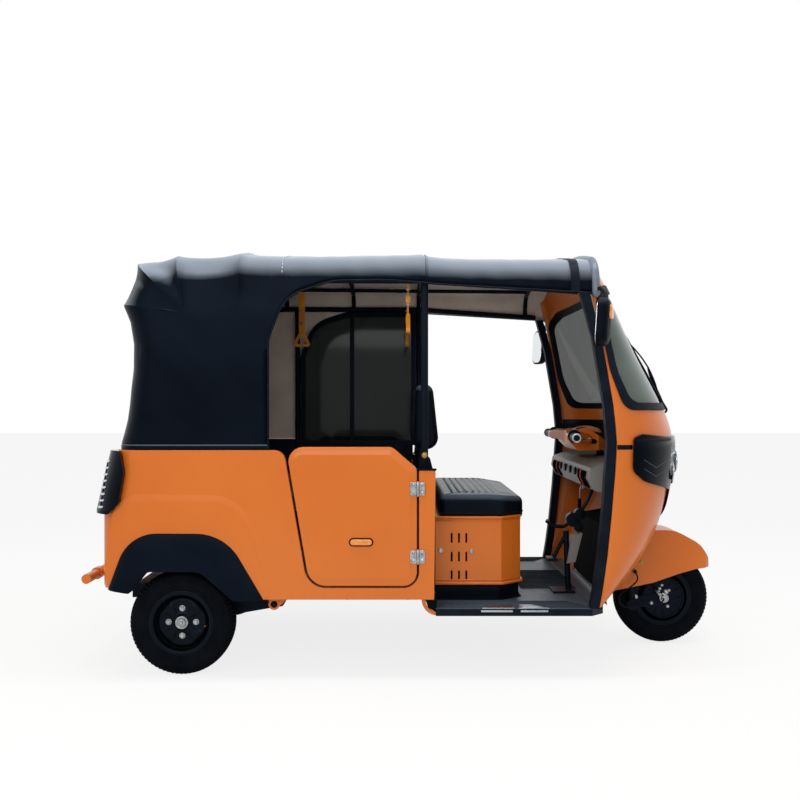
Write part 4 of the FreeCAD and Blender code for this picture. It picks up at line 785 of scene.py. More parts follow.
def fit(piece: Object, body: str, look: Look, *stands_for: str) -> Object:
    """Finishes a piece and fixes it to its body.

    Args:
        piece: the piece.
        body: the body it moves with.
        look: its finish.
        stands_for: the frame's nodes that it replaces.

    Returns:
        The piece.
    """
    piece.data.materials.clear()
    piece.data.materials.append(Paintbox.get(look))
    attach(piece, body)
    if stands_for:
        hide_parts(*stands_for)
    return piece


class Carrier:
    """A frame node that small pieces are set down on."""

    def __init__(self, node: str) -> None:
        """Reads the node's surface.

        Args:
            node: the frame node's name.
        """
        mesh = frame["nodes"][node].data
        self.tree = BVHTree.FromPolygons([v.co.copy() for v in mesh.vertices],
                                         [tuple(p.vertices) for p in mesh.polygons])

    def hit(self, start: Vector, way: Vector) -> tuple[Vector, Vector]:
        """Where a line meets the surface.

        Args:
            start: a point outside the surface.
            way: the direction towards it.

        Returns:
            The point and the normal that faces back along the line.
        """
        place, normal, _, _ = self.tree.ray_cast(start, way.normalized())
        if place is None:
            place, normal, _, _ = self.tree.find_nearest(start)
        return place, normal if normal.dot(way) < 0 else -normal


# Cord

@dataclass
class BrakeHose:
    """The front brake's hose: from its union on the fender down, back in a loop and to the axle."""

    radius_mm: float = 3.25
    length_m: float = 0.422
    fender_half: float = 98.0
    stub_end: float = -76.0
    stub_ahead: float = -5.0
    # Ahead of the axle, outside the fender's skin, above the axle
    route_mm: tuple = ((-133, 6, 119), (-124.6, 27, 102.5), (-133.8, 41.8, 80.7), (-172, 44, 52),
                       (-204, 42, 33), (-213, 39, 4), (-198, 35, -22), (-162, 31, -34),
                       (-112, 27, -24), (-62, 22, -26), (-33, 15, -20), (-11, 7, -7), (-5, -6, 0))

    def route(self) -> Row:
        """Places the hose's route.

        Returns:
            Its points, from the union on the fender to the axle.
        """
        points = [at(FRONT_AXLE + ahead, -self.fender_half - out, TYRE_RADIUS + up)
                  for ahead, out, up in self.route_mm]
        return points + [at(FRONT_AXLE + self.stub_ahead, self.stub_end - 0.3, TYRE_RADIUS)]

    def build(self) -> None:
        curve = bpy.data.curves.new("brake_hose_line", "CURVE")
        curve.dimensions = "3D"
        route = self.route()
        spline = curve.splines.new("NURBS")
        spline.points.add(len(route) - 1)
        for point, place in zip(spline.points, route):
            point.co = (*place, 1.0)
        spline.order_u = 3
        spline.use_endpoint_u = True
        spline.resolution_u = 12
        curve.bevel_depth = self.radius_mm * MM
        curve.bevel_resolution = 4
        curve.use_fill_caps = True
        made = bpy.data.objects.new("brake_hose_line", curve)
        bpy.context.scene.collection.objects.link(made)
        fit(made, "steering", Look.RUBBER, "brake_hose")


# Hood

@dataclass
class Hood:
    """The coated-cloth hood: one curved sheet pulled over its bows, lined underneath."""

    half: float = 610.0
    belt: float = 870.6
    pole_x: float = -870.0
    pole_z: float = 1390.0
    shoulder: float = 120.0
    front: float = 687.5
    rear_opening: float = -548.5
    eave: float = 1503.0
    columns: int = 34
    levels: int = 18
    sag: float = 13.0
    curve_start: float = 1245.0
    pull: float = 0.5
    lining_gap: float = 6.5
    cloth: float = 1.6
    flat_m: tuple[float, float] = (3.3, 2.6)
    hem_tall: float = 20.0
    hem_proud: float = 1.8
    piping: float = 4.0
    welt: float = 3.0
    front_roll: float = 15.0
    lip_roll: float = 22.0
    pillar_x: float = 45.5
    seam_x: float = -502.0
    strap_x: tuple[float, float] = (598.0, 628.0)
    stitch: float = 9.0
    seam_foot: float = 1535.0
    seal_y: float = 598.0
    seal_end: float = 62.0
    # The rear window: half its width, foot, top and corner radius
    window: tuple[float, float, float, float] = (260.0, 1080.0, 1300.0, 40.0)
    # The concave tail, from the hem up to the lowest bow: station, height
    tail: tuple = ((-1138, 860), (-1137, 900), (-1126, 943), (-1114, 990), (-1103, 1084), (-1092, 1178),
                   (-1091, 1272), (-1105, 1365), (-1131, 1427))
    # The bows that lift the cloth into ridges: station, height at the middle
    bows: tuple = ((-1131, 1427), (-1076, 1600), (-916, 1656), (-665, 1687), (45.5, 1680), (687.5, 1662))
    # How far the roof falls from its middle to its shoulders, by station
    crowns: tuple = ((-916, 32), (-665, 52))

    def opening(self) -> list[tuple[float, float]]:
        """Draws the edge of the open side in side view.

        Returns:
            Its points (station, height), from the belt up and forward.
        """
        rear, eave = self.rear_opening, self.eave
        corners = [(rear, self.belt - 60), (rear, 1290, 150), (REAR_AXLE + 405, 1455, 150),
                   (REAR_AXLE + 590, eave + 14, 300), (REAR_AXLE + 790, eave + 14, 900),
                   (REAR_AXLE + 960, eave, 900), (FRONT_AXLE - 455, eave - 34),
                   (FRONT_AXLE - 400, eave - 41), (FRONT_AXLE, 0)]
        line = rounded(corners, 10)[:-1]
        return [(rear, self.belt)] + [p for p in line if p[1] > self.belt + 1]

    def roof(self, x: float) -> tuple[float, float, float]:
        """The roof at a station.

        Args:
            x: the station.

        Returns:
            Its height at the middle, its fall to the shoulders and how far the cloth sinks there.
        """
        sunk = 0.0
        for (low, _), (high, _) in zip(self.bows, self.bows[1:]):
            if low <= x <= high:
                t = ((x - low) / (high - low)) ** (self.pull if high - low > 400 else 1.0)
                sunk = 4 * t * (1 - t) * self.sag
        return along(self.bows, x), along(self.crowns, x), sunk

    def rib(self, origin: Vector, way: Vector, reach: float, crown: float, corner: float, sunk: float,
            inset: float, foot: float, shares: Sequence[float], fade: tuple[float, float]) -> Row:
        """One line of the sheet from the right foot over the middle to the left foot.

        Args:
            origin: the point of the middle plane that distances start from, in millimetres.
            way: the direction from there towards the sheet's middle.
            reach: the distance to the sheet at the middle.
            crown: how far the sheet is lower at its shoulders.
            corner: the radius of the shoulders.
            sunk: how far the cloth sinks at its middle.
            inset: how far the line lies inside the hood's outer face.
            foot: the distance at which the line starts.
            shares: the places of its points as shares of half its length.
            fade: the distances between which the sinking begins.

        Returns:
            The points in metres, an odd number of them.
        """
        half = self.half - inset
        lift, turn = reach - crown - corner, half - corner
        line = [Vector((-half, foot, 0))] if foot < lift else []
        start = 0.0 if foot < lift else math.asin(min(1.0, (foot - lift) / corner))
        for k in range(17):
            angle = start + (math.pi / 2 - start) * k / 16
            line.append(Vector((-turn - corner * math.cos(angle), lift + corner * math.sin(angle), 0)))
        for k in range(1, 17):
            y = -turn * (1 - k / 16)
            line.append(Vector((y, reach - crown * (y / turn) ** 2, 0)))
        placed = by_shares(line, shares)
        right = []
        for i, here in enumerate(placed):
            run = placed[min(i + 1, len(placed) - 1)] - placed[max(i - 1, 0)]
            inward = Vector((run.y, -run.x, 0)).normalized()
            if i == len(placed) - 1:
                inward = Vector((0, -1, 0))
            loose = 0.9 if origin.x < self.bows[3][0] else 0.1
            slack = 1 + loose * blend(0.25, 0.6, inward.x) * (1 - blend(0.85, 1.0, inward.x))
            here = here + inward * sunk * slack * blend(fade[0], fade[1], here.y)
            right.append((origin + way * here.y + Vector((0, here.x, 0))) * MM)
        return right + mirror(right[:-1])[::-1]

    def fan_reach(self, angle: float) -> tuple[float, float]:
        """The sheet's distance from the pole in side view.

        Args:
            angle: the direction from the pole, 90 upward and 180 to the tail.

        Returns:
            The distance, and how far the cloth sinks there.
        """
        way = Vector((math.cos(math.radians(angle)), math.sin(math.radians(angle))))
        line = [Vector((x - self.pole_x, z - self.pole_z)) for x, z in self.tail[-2:-1] + self.bows[:4]]
        for i, (a, b) in enumerate(zip(line, line[1:])):
            run = b - a
            cross = way.x * run.y - way.y * run.x
            distance = (a.x * run.y - a.y * run.x) / cross
            t = (a.x * way.y - a.y * way.x) / cross
            if -1e-6 <= t <= 1 + 1e-6 and distance > 0:
                return distance, 4 * t * (1 - t) * self.sag if i else 0.0
        return line[0].length, 0.0

    def fan(self, inset: float) -> list[Row]:
        """The tail's level lines, then the lines that fan out over the rear bows.

        Args:
            inset: how far they lie inside the hood's outer face.

        Returns:
            The lines, from the hem up and forward.
        """
        even = [k / (self.columns - 1) for k in range(self.columns)]
        rows = []
        for k in range(self.levels + 1):
            z = self.belt + (self.pole_z - self.belt) * k / self.levels
            station = along([(zz, xx) for xx, zz in self.tail], z)
            rows.append(self.rib(Vector((self.pole_x, 0, z)), Vector((-1, 0, 0)),
                                 self.pole_x - station - inset, 10, 95, 0.0, inset, 0.0, even, (50, 230)))
        ridges = [math.degrees(math.atan2(z - self.pole_z, x - self.pole_x)) for x, z in self.bows[:3]]
        crisp = [r + turn for r in ridges for turn in (-0.9, 0.0, 0.9)]
        steps = [180 - 90 * k / 30 for k in range(1, 31)]
        angles = [a for a in steps if min(abs(a - r) for r in ridges) > 1.8] + crisp
        crown = along(self.crowns, self.pole_x)
        for angle in sorted(angles, reverse=True):
            reach, sunk = self.fan_reach(angle)
            way = Vector((math.cos(math.radians(angle)), 0, math.sin(math.radians(angle))))
            rows.append(self.rib(
                Vector((self.pole_x, 0, self.pole_z)), way, reach - inset,
                along(((90, crown), (99, 32), (125, 12), (180, 10)), angle),
                along(((90, self.shoulder), (135, 105), (180, 95)), angle), sunk, inset, 0.0, even,
                (along(((90, 0), (150, 165)), angle), along(((90, 110), (150, 300)), angle))))
        return rows

    def arches(self, inset: float) -> tuple[list[Row], list[Row]]:
        """The lines across the car, from the pole forward.

        Args:
            inset: how far they lie inside the hood's outer face.

        Returns:
            The lines that start at the belt, then those that start at the opening's edge.
        """
        below = self.pole_z - self.belt
        rows, shares = [], []
        ridge = self.bows[3][0]
        even = [self.pole_x + (self.rear_opening - self.pole_x) * k / 12 for k in range(13)]
        places = [x for x in even if abs(x - ridge) > 14] + [ridge - 5, ridge, ridge + 5]
        for x in sorted(places):
            top, crown, sunk = self.roof(x)
            length = below + self.upper_length(top - inset, crown, inset)
            shares = [below * i / self.levels / length for i in range(self.levels)]
            shares += [(below + (length - below) * i / (self.columns - 1)) / length
                       for i in range(self.columns)]
            rows.append(self.rib(Vector((x, 0, self.pole_z)), Vector((0, 0, 1)),
                                 top - inset - self.pole_z, crown, self.shoulder, sunk, inset, -below,
                                 shares, (0, 110)))
        last = rows[-1]
        first = next(i for i, p in enumerate(last) if p.z > self.curve_start * MM)
        shares = [(share - shares[first]) / (1 - shares[first]) for share in shares[first:]]
        ahead = [last[first:len(last) - first]]
        even = [k / (len(shares) - 1) for k in range(len(shares))]
        line = [Vector((x, z, 0)) for x, z in self.opening() if x > self.rear_opening + 0.2]
        edge = [p for p in spread(line, 84) if p.x < self.front]
        for k, foot in enumerate(edge):
            x = self.pillar_x if abs(foot.x - self.pillar_x) < 7 else foot.x
            top, crown, sunk = self.roof(x)
            mixed = [a + (b - a) * blend(0.0, 0.5, k / len(edge)) for a, b in zip(shares, even)]
            ahead.append(self.rib(Vector((x, 0, self.pole_z)), Vector((0, 0, 1)),
                                  top - inset - self.pole_z, crown, self.shoulder, sunk, inset,
                                  foot.y - self.pole_z, mixed, (0, 110)))
        return rows, ahead

    def upper_length(self, top: float, crown: float, inset: float) -> float:
        """Measures an arch above the pole's height.

        Args:
            top: its height at the middle.
            crown: how far it falls to its shoulders.
            inset: how far it lies inside the hood's outer face.

        Returns:
            Half its length.
        """
        half = self.half - inset
        lift, turn = top - self.pole_z - crown - self.shoulder, half - self.shoulder
        line = [Vector((-half, 0, 0))]
        line += [Vector((-turn - self.shoulder * math.cos(a), lift + self.shoulder * math.sin(a), 0))
                 for a in (math.pi / 2 * k / 16 for k in range(17))]
        line += [Vector((-turn * (1 - k / 16), lift + self.shoulder + crown * (1 - (1 - k / 16) ** 2), 0))
                 for k in range(1, 17)]
        return sum((b - a).length for a, b in zip(line, line[1:]))

    def lip(self, last: Row) -> list[Row]:
        """Rolls the front edge inward around the foremost bow.

        Args:
            last: the sheet's last line.

        Returns:
            The lines of the roll.
        """
        rows = []
        for k in range(1, 7):
            angle = math.radians(14 * k)
            rows.append([p - Vector((0, p.y, p.z - 1.45)).normalized() * self.lip_roll * MM
                         * (1 - math.cos(angle)) + Vector((self.lip_roll * MM * math.sin(angle), 0, 0))
                         for p in last])
        return rows

    def in_window(self, middle: Vector) -> bool:
        """Tells whether a face lies in the rear window.

        Args:
            middle: the face's middle.

        Returns:
            True where the cloth is cut out.
        """
        across = max(0.0, abs(middle.y) - 0.22)
        up = max(0.0, abs(middle.z - 1.19) - 0.07)
        return middle.x < -1.02 and math.hypot(across, up) < 0.04

    def sheet(self, inset: float) -> tuple[Solid, list[Row], list[Row]]:
        """The whole sheet as one net.

        Args:
            inset: how far it lies inside the hood's outer face.

        Returns:
            The solid, the lines of its tail and the lines across the car.
        """
        fan = self.fan(inset)
        rear, ahead = self.arches(inset)
        made = Solid().grid(fan, skip=self.in_window)
        made.grid(rear)
        made.grid(ahead + self.lip(ahead[-1]))
        return made, fan, rear + ahead[1:]

    def wrinkled(self, piece: Object) -> Object:
        """Adds the slack of real cloth: long shallow waves that run down from the bows.

        Args:
            piece: the cloth.

        Returns:
            The same piece, with its points moved.
        """
        for vertex in piece.data.vertices:
            p = vertex.co
            wave = math.sin(p.x * 23 + 3 * math.sin(p.z * 5)) * math.sin(p.z * 9 + p.y * 4)
            wave += 0.6 * math.sin(p.x * 61 + p.z * 17) * math.sin(p.z * 31 - p.x * 12)
            low = blend(0.87, 0.95, p.z)
            vertex.co = p - vertex.normal * 0.0012 * (1 + wave) * low
        return piece

    def band(self, line: Row, tall: float, proud: float) -> Solid:
        """A doubled hem that stands on a line of the sheet's foot.

        Args:
            line: the foot.
            tall: its height in millimetres.
            proud: how far it stands out in millimetres.

        Returns:
            The solid under construction.
        """
        rows = []
        for up, out in ((0.0, 0.4), (0.4, proud), (tall * 0.5, proud * 1.15), (tall - 2, proud), (tall, 0.2)):
            row = []
            for i, p in enumerate(line):
                run = line[min(i + 1, len(line) - 1)] - line[max(i - 1, 0)]
                away = Vector((run.y, -run.x, 0)).normalized()
                away = away if away.dot(Vector((p.x + 0.6, p.y, 0))) > 0 else -away
                row.append(p + away * out * MM + Vector((0, 0, up * MM)))
            rows.append(row)
        return Solid().grid(rows)

    def stitches(self, line: Row, dash: float, gap: float) -> Solid:
        """Runs a seam's thread in and out of the cloth along a line.

        Args:
            line: the seam.
            dash: the length of a stitch that shows.
            gap: the length between two of them.

        Returns:
            The solid under construction.
        """
        made = Solid()
        total = sum((b - a).length for a, b in zip(line, line[1:]))
        count = max(2, int(total / ((dash + gap) * MM)))
        fine = spread(line, count * 4 + 1)
        for k in range(count):
            a, b = fine[4 * k], fine[4 * k + 2]
            made.tube([a, (a + b) / 2, b], 1.2 * MM, 6)
        return made

    def nearest(self, arches: Sequence[Row], station: float) -> Row:
        """The line across the car that lies nearest to a station."""
        return min(arches, key=lambda row: abs(row[len(row) // 2].x - station * MM))

    def build(self) -> None:
        """Makes the hood, its lining, hems, piping, welts and stitches."""
        net, fan, arches = self.sheet(0.0)
        outer = self.wrinkled(net.object("hood_sheet", 60))
        thick = outer.modifiers.new("thickness", "SOLIDIFY")
        thick.thickness = self.cloth * MM
        thick.offset = -1.0
        fit(outer, "body", Look.HOOD, "canopy_roof", "canopy_sides", "canopy_back")
        net, _, _ = self.sheet(self.lining_gap)
        liner = fit(net.object("hood_lining", 60), "body", Look.LINING)

        sides = [Vector((self.rear_opening * MM, fan[0][0].y, fan[0][0].z)), *fan[0]]
        hem = self.band(spread(sides + mirror(sides[:1]), 120), self.hem_tall, self.hem_proud)
        fit(hem.object("hood_hem"), "body", Look.HOOD)

        piping = Solid()
        edge = [row[0] for row in arches if row[0].x > (self.rear_opening - 1) * MM]
        edge.insert(1, Vector((edge[0].x, edge[0].y, self.curve_start * MM)))
        edge = [p + Vector((0, -1.5 * MM, 0)) for p in edge]
        piping.tube(edge, self.piping * MM, 8).tube(mirror(edge), self.piping * MM, 8)
        fit(piping.object("hood_piping"), "body", Look.RUBBER)

        seal = Solid()
        line = [Vector((x, z, 0)) for x, z in self.opening() if x < self.seal_end]
        runs = [(b - a).normalized() for a, b in zip(line, line[1:] + line[-1:])]
        runs[-1] = runs[-2]
        for step in (0.0, 12.0, 24.0):
            seal.points.extend(at(p.x + run.y * step, self.seal_y, p.y - run.x * step)
                               for p, run in zip(line, runs))
        count = len(line)
        seal.faces.extend((row * count + k, row * count + k + 1, (row + 1) * count + k + 1,
                           (row + 1) * count + k) for row in (0, 1) for k in range(count - 1))
        fit(seal.object("window_seal_left"), "body", Look.RUBBER)

        lifted = [p + at(0, 0, 1) for p in self.nearest(arches, self.pillar_x)]
        fit(Solid().tube(lifted, self.welt * MM, 8).object("hood_welt"), "body", Look.HOOD)

        # The front roll is hood cloth painted pale for the sky's reflection along its edge
        roll = Solid().tube([p + at(12, 0, -3) for p in arches[-1]], self.front_roll * MM, 12)
        fit(roll.object("hood_front_roll"), "body", Look.ROLL_SHEEN)
        flap = []
        for p in arches[-1]:
            y = p.y / MM
            if abs(y) < 545:
                header = at(FRONT_AXLE - 375.5 - 30 * (y / 540) ** 2, y, 1608 - 0.21 * max(0.0, abs(y) - 430))
                start = p + Vector((14 * MM, 0, -10 * MM))
                flap.append([start, start.lerp(header, 0.5) + Vector((4 * MM, 0, 0)), header])
        fit(Solid().grid(flap).object("header_weather_strip", 60), "body", Look.RUBBER)
        strap = [self.nearest(arches, x) for x in self.strap_x]
        rows = [[p + Vector((0, p.y * 0.004, 2 * MM)) for p in row] for row in strap]
        fit(Solid().grid(rows).object("hood_strap"), "body", Look.RUBBER)

        seam = [p + at(0, 0, 1) for p in self.nearest(arches, self.seam_x) if p.z > self.seam_foot * MM]
        for side, name in ((-1, "right"), (1, "left")):
            thread = self.stitches([p for p in seam if p.y * side > 0], self.stitch, self.stitch)
            fit(thread.object(f"hood_seam_{name}"), "body", Look.THREAD)

        half, foot, top, radius = self.window
        frame_rows = []
        for grow, proud in ((-14, 1.0), (-12, 4.0), (12, 4.0), (15, 0.5)):
            across, low, high, turn = half + grow, foot - grow, top + grow, radius + grow
            line = rounded([(-across, low, turn), (across, low, turn), (across, high, turn),
                            (-across, high, turn)])
            frame_rows.append([at(along([(z, x) for x, z in self.tail], up) - proud, y, up)
                               for y, up in line])
        fit(Solid().grid(frame_rows, wrap_columns=True).object("rear_window_frame"), "body", Look.RUBBER)


def by_shares(line: Sequence[Vector], shares: Sequence[float]) -> Row:
    """Points at given shares of a line's length.

    Args:
        line: the line's corners.
        shares: the places, from 0 to 1 and rising.

    Returns:
        The points.
    """
    reach = [0.0]
    for a, b in zip(line, line[1:]):
        reach.append(reach[-1] + (b - a).length)
    made, i = [], 0
    for share in shares:
        want = reach[-1] * share
        while i < len(line) - 2 and reach[i + 1] < want:
            i += 1
        span = reach[i + 1] - reach[i]
        made.append(line[i].lerp(line[i + 1], min(1.0, (want - reach[i]) / span) if span else 0.0))
    return made


@dataclass
class Pad:
    """A stuffed or moulded block: an outline with two rounded faces."""

    outline: list[tuple[float, float]]
    low: float
    high: float
    place: Callable[[float, float, float], Vector]
    round_low: float = 12.0
    round_high: float = 24.0
    crown: float = 8.0
    count: int = 140
    rings: int = 20

    def build(self, relief: Callable[[float, float], float] | None = None,
              made: Solid | None = None) -> Solid:
        """Makes the block.

        Args:
            relief: the height of channels and panels on its face, by place.
            made: a solid to add it to.

        Returns:
            The solid under construction.
        """
        loop = [Vector((u, v, 0)) for u, v in self.outline]
        loop = spread(loop + loop[:1], self.count + 1)[:-1]
        area = sum(a.x * b.y - b.x * a.y for a, b in zip(loop, loop[1:] + loop[:1]))
        turn = 1 if area > 0 else -1
        out = [Vector(((b - a).y, -(b - a).x, 0)).normalized() * turn
               for a, b in zip(loop[-1:] + loop[:-1], loop[1:] + loop[:1])]
        us, vs = [p.x for p in loop], [p.y for p in loop]
        middle = Vector(((min(us) + max(us)) / 2, (min(vs) + max(vs)) / 2, 0))
        wide, tall = (max(us) - min(us)) / 2, (max(vs) - min(vs)) / 2
        rows = []

        def ring(inset: float, level: float) -> None:
            """Adds a ring drawn in from the outline."""
            rows.append([self.place(p.x - n.x * inset, p.y - n.y * inset, level)
                         for p, n in zip(loop, out)])

        for k in range(6):
            angle = math.pi / 2 * k / 5
            ring(self.round_low * (1 - math.sin(angle)), self.low + self.round_low * (1 - math.cos(angle)))
        for k in range(7):
            angle = math.pi / 2 * k / 6
            ring(self.round_high * (1 - math.cos(angle)),
                 self.high - self.round_high * (1 - math.sin(angle)))
        for k in range(1, self.rings + 1):
            t = k / self.rings
            row = []
            for p, n in zip(loop, out):
                edge = p - n * self.round_high
                gap = edge - middle
                core = Vector((math.copysign(max(0.0, wide - tall), gap.x) if wide > tall else 0.0,
                               math.copysign(max(0.0, tall - wide), gap.y) if tall > wide else 0.0, 0))
                spine = Vector((max(-abs(core.x), min(abs(core.x), gap.x)),
                                max(-abs(core.y), min(abs(core.y), gap.y)), 0))
                here = edge.lerp(middle + spine, t)
                up = self.high + self.crown * (1 - (1 - t) ** 2)
                if relief:
                    up += relief(here.x, here.y) * blend(0.0, 0.12, t)
                row.append(self.place(here.x, here.y, up))
            rows.append(row)
        made = made or Solid()
        made.grid(rows, wrap_columns=True)
        return made.ring_cap(rows[0][::-1])


# Wheels

@dataclass
class Wheel:
    """A road wheel: tyre with tread and shoulder lugs, pressed rim, nuts and valve."""

    name: str
    body: str
    x: float
    y: float
    outward: int
    steps: int = 216
    lugs: int = 72
    groove: float = 3.6
    slot: float = 4.5
    bolts: int = 4
    bolt_circle: float = 53.0
    valve_angle: float = 98.0
    # Half the tyre's section from the bead to the tread: radius, distance from its middle
    tyre_side: tuple = ((112, 45), (125, 45), (130, 47.6), (137, 48.6), (139, 50), (141, 48.8),
                        (150, 50.4), (160, 51.8), (162, 52.4), (164, 51.8), (172, 51.6), (180, 50.4),
                        (186, 48.6), (189, 47.4), (192, 45), (195, 42), (197.5, 38.5), (199.5, 34),
                        (200.6, 29), (201, 25), (195.5, 24), (195.5, 20.5), (201.4, 19.5), (201.8, 13),
                        (202, 6.5), (196, 5.5), (196, 3.5), (202, 2.5))
    # The rim's section from the disc's middle out to the well and back: radius, distance outward
    rim_section: tuple = ((0.01, 37), (24, 37), (28, 35), (31, 31), (36, 29), (44, 28), (54, 28),
                          (64, 28), (74, 28), (82, 28.5), (88, 28), (92, 25), (95, 19), (99, 14),
                          (104, 13), (105.5, 15), (106, 26), (108, 34), (106.5, 43), (109, 48),
                          (115, 49.6), (122, 50), (125.4, 48.6), (126, 46), (124, 44.6), (112, 45),
                          (111, 30), (111, -45), (126, -45.5), (126, -50), (106, -50), (106, -9),
                          (97, 10), (85, 20), (30, 24), (30, -48), (13, -50), (12.8, 19), (0.01, 20))

    def axis(self) -> Vector:
        """The axle's direction, towards the disc's face."""
        return Vector((0, self.outward, 0))

    def middle(self) -> Vector:
        """The wheel's middle."""
        return at(self.x, self.y, TYRE_RADIUS)

    def round_axle(self, angle: float, radius: float, place: float) -> Vector:
        """A point of the disc by its angle from the top, its radius and its distance outward."""
        return at(self.x + radius * math.sin(angle), self.y + self.outward * place,
                  TYRE_RADIUS + radius * math.cos(angle))

    def tread(self, angle: float, radius: float, place: float) -> tuple[float, float]:
        """Cuts the tread blocks and the shoulder lugs.

        Args:
            angle: the place round the axle.
            radius: the point's distance from the axle.
            place: its distance from the wheel's middle.

        Returns:
            The point's new radius and place.
        """
        if radius > TYRE_RADIUS - 14:
            side = 1 if place > 0 else -1
            step = (angle / (2 * math.pi) * self.lugs + (0.5 if side > 0 else 0) + abs(place) / 90) % 1
            if abs(place) > 25 and step < 0.34:
                return radius - self.groove, place - side * 1.5
            if 6 < abs(place) < 20 and step > 0.62:
                return radius - self.slot, place
        return radius, place

    def tyre(self) -> None:
        """Turns the tyre."""
        profile = self.tyre_side + tuple((r, -p) for r, p in reversed(self.tyre_side))
        solid = Solid().turned(profile, self.middle(), self.axis(), self.steps, self.tread)
        fit(solid.object(f"{self.name}_road_tyre", 28), self.body, Look.TYRE, f"{self.name}_tyre")

    def pressing(self, angle: float, radius: float, place: float) -> tuple[float, float]:
        """Presses four ribs into the disc.

        Args:
            angle: the place round the axle.
            radius: the point's distance from the axle.
            place: its distance outward.

        Returns:
            The point's radius and new place.
        """
        if 30 < radius < 92 and place > 20:
            lobe = blend(0.1, 0.75, -math.cos(4 * angle))
            inner = blend(32, 44, radius) * (1 - blend(76, 90, radius))
            place += 6.5 * lobe * inner - 2.5 * (1 - lobe) * inner
        return radius, place

    def rim(self) -> None:
        """Turns the rim, then sets its nuts, hub nut and valve."""
        solid = Solid().turned(self.rim_section, self.middle(), self.axis(), 96, self.pressing)
        fit(solid.object(f"{self.name}_pressed_rim", 50), self.body, Look.RIM, f"{self.name}_rim")
        metal = Solid()
        for k in range(self.bolts):
            metal.bolt(self.round_axle(2 * math.pi * k / self.bolts, self.bolt_circle, 25.5), self.axis(),
                       8.5, 0.95)
        metal.turned([(0.01, 37), (24, 37), (25, 39), (24, 41), (20, 41.5), (18, 40), (0.01, 40)],
                     self.middle(), self.axis(), 36)
        metal.turned([(16, 40), (16, 48), (13.5, 50), (9, 50), (8.5, 46), (0.01, 46)], self.middle(),
                     self.axis(), 6)
        metal.turned([(6, 44), (6, 53), (4.5, 54), (2, 54), (2, 52), (0.01, 52)], self.middle(),
                     self.axis(), 18)
        fit(metal.object(f"{self.name}_wheel_nuts"), self.body, Look.ZINC)
        angle = math.radians(self.valve_angle)
        foot, tip = self.round_axle(angle, 101, 14), self.round_axle(angle, 92, 44)
        valve = Solid().tube([foot, foot.lerp(tip, 0.5), tip], 3.4 * MM, 10)
        fit(valve.object(f"{self.name}_valve"), self.body, Look.BRASS)

    def build(self) -> None:
        """Makes the tyre and the rim."""
        self.tyre()
        self.rim()


@dataclass
class FrontHub:
    """What shows on the front wheel's near side: brake plate ribs, nuts and link bolts."""

    face: float = -63.0
    ribs: int = 12
    rib_reach: tuple[float, float] = (58.0, 86.0)
    # Bolt heads: ahead of the axle, above it, radius
    bolts: tuple = ((0, 0, 15), (-21, 42, 4.5), (-5, 52, 4.5), (26, 30, 4.5), (-52, -24, 5.5),
                    (20, -40, 5), (-124, 26, 7), (-20, 18, 6), (12, 22, 8))
    fender_bolt: tuple[float, float] = (-104.0, 159.0)
    hose_union: tuple[float, float] = (-133.0, 119.0)

    def build(self) -> None:
        """Sets the hub's fittings on the link's plate and arm."""
        x, z = FRONT_AXLE, TYRE_RADIUS
        link = Carrier("front_link")
        metal = Solid()
        for ahead, up, radius in self.bolts:
            spot, _ = link.hit(at(x + ahead, -200, z + up), Vector((0, 1, 0)))
            metal.bolt(spot, Vector((0, -1, 0)), radius, 0.8)
        # Speedometer drive and cam lever, cast
        metal.tube([at(x - 30, -72, z + 26), at(x - 8, -80, z + 20), at(x + 14, -78, z + 4)], 7 * MM, 10)
        metal.tube([at(x - 40, -70, z + 34), at(x - 22, -84, z + 30)], 4 * MM, 8)
        fit(metal.object("front_hub_fittings"), "steering", Look.ZINC)
        ribs = Solid()
        for k in range(self.ribs):
            angle = 2 * math.pi * k / self.ribs
            ribs.tube([at(x + r * math.cos(angle), self.face + 2, z + r * math.sin(angle))
                       for r in self.rib_reach], 3 * MM, 6)
        ribs.turned([(86, 60), (86, 64), (89, 65), (91, 63), (91, 60)], at(x, 0, z), Vector((0, -1, 0)), 64)
        fit(ribs.object("brake_plate_ribs"), "steering", Look.RIM)
        ahead, up = self.fender_bolt
        spot, _ = Carrier("front_fender").hit(at(x + ahead, -300, z + up), Vector((0, 1, 0)))
        fit(Solid().bolt(spot, Vector((0, -1, 0)), 6.5).object("fender_bolt"), "steering", Look.BRASS)
        ahead, up = self.hose_union
        union = Solid().turned([(0.01, 0), (8, 0), (8.5, 2), (8.5, 9), (7, 11), (0.01, 11)],
                               at(x + ahead, -97.5, z + up), Vector((0, -1, 0)), 18)
        fit(union.object("hose_union"), "steering", Look.BLACK_STEEL)


# Seats

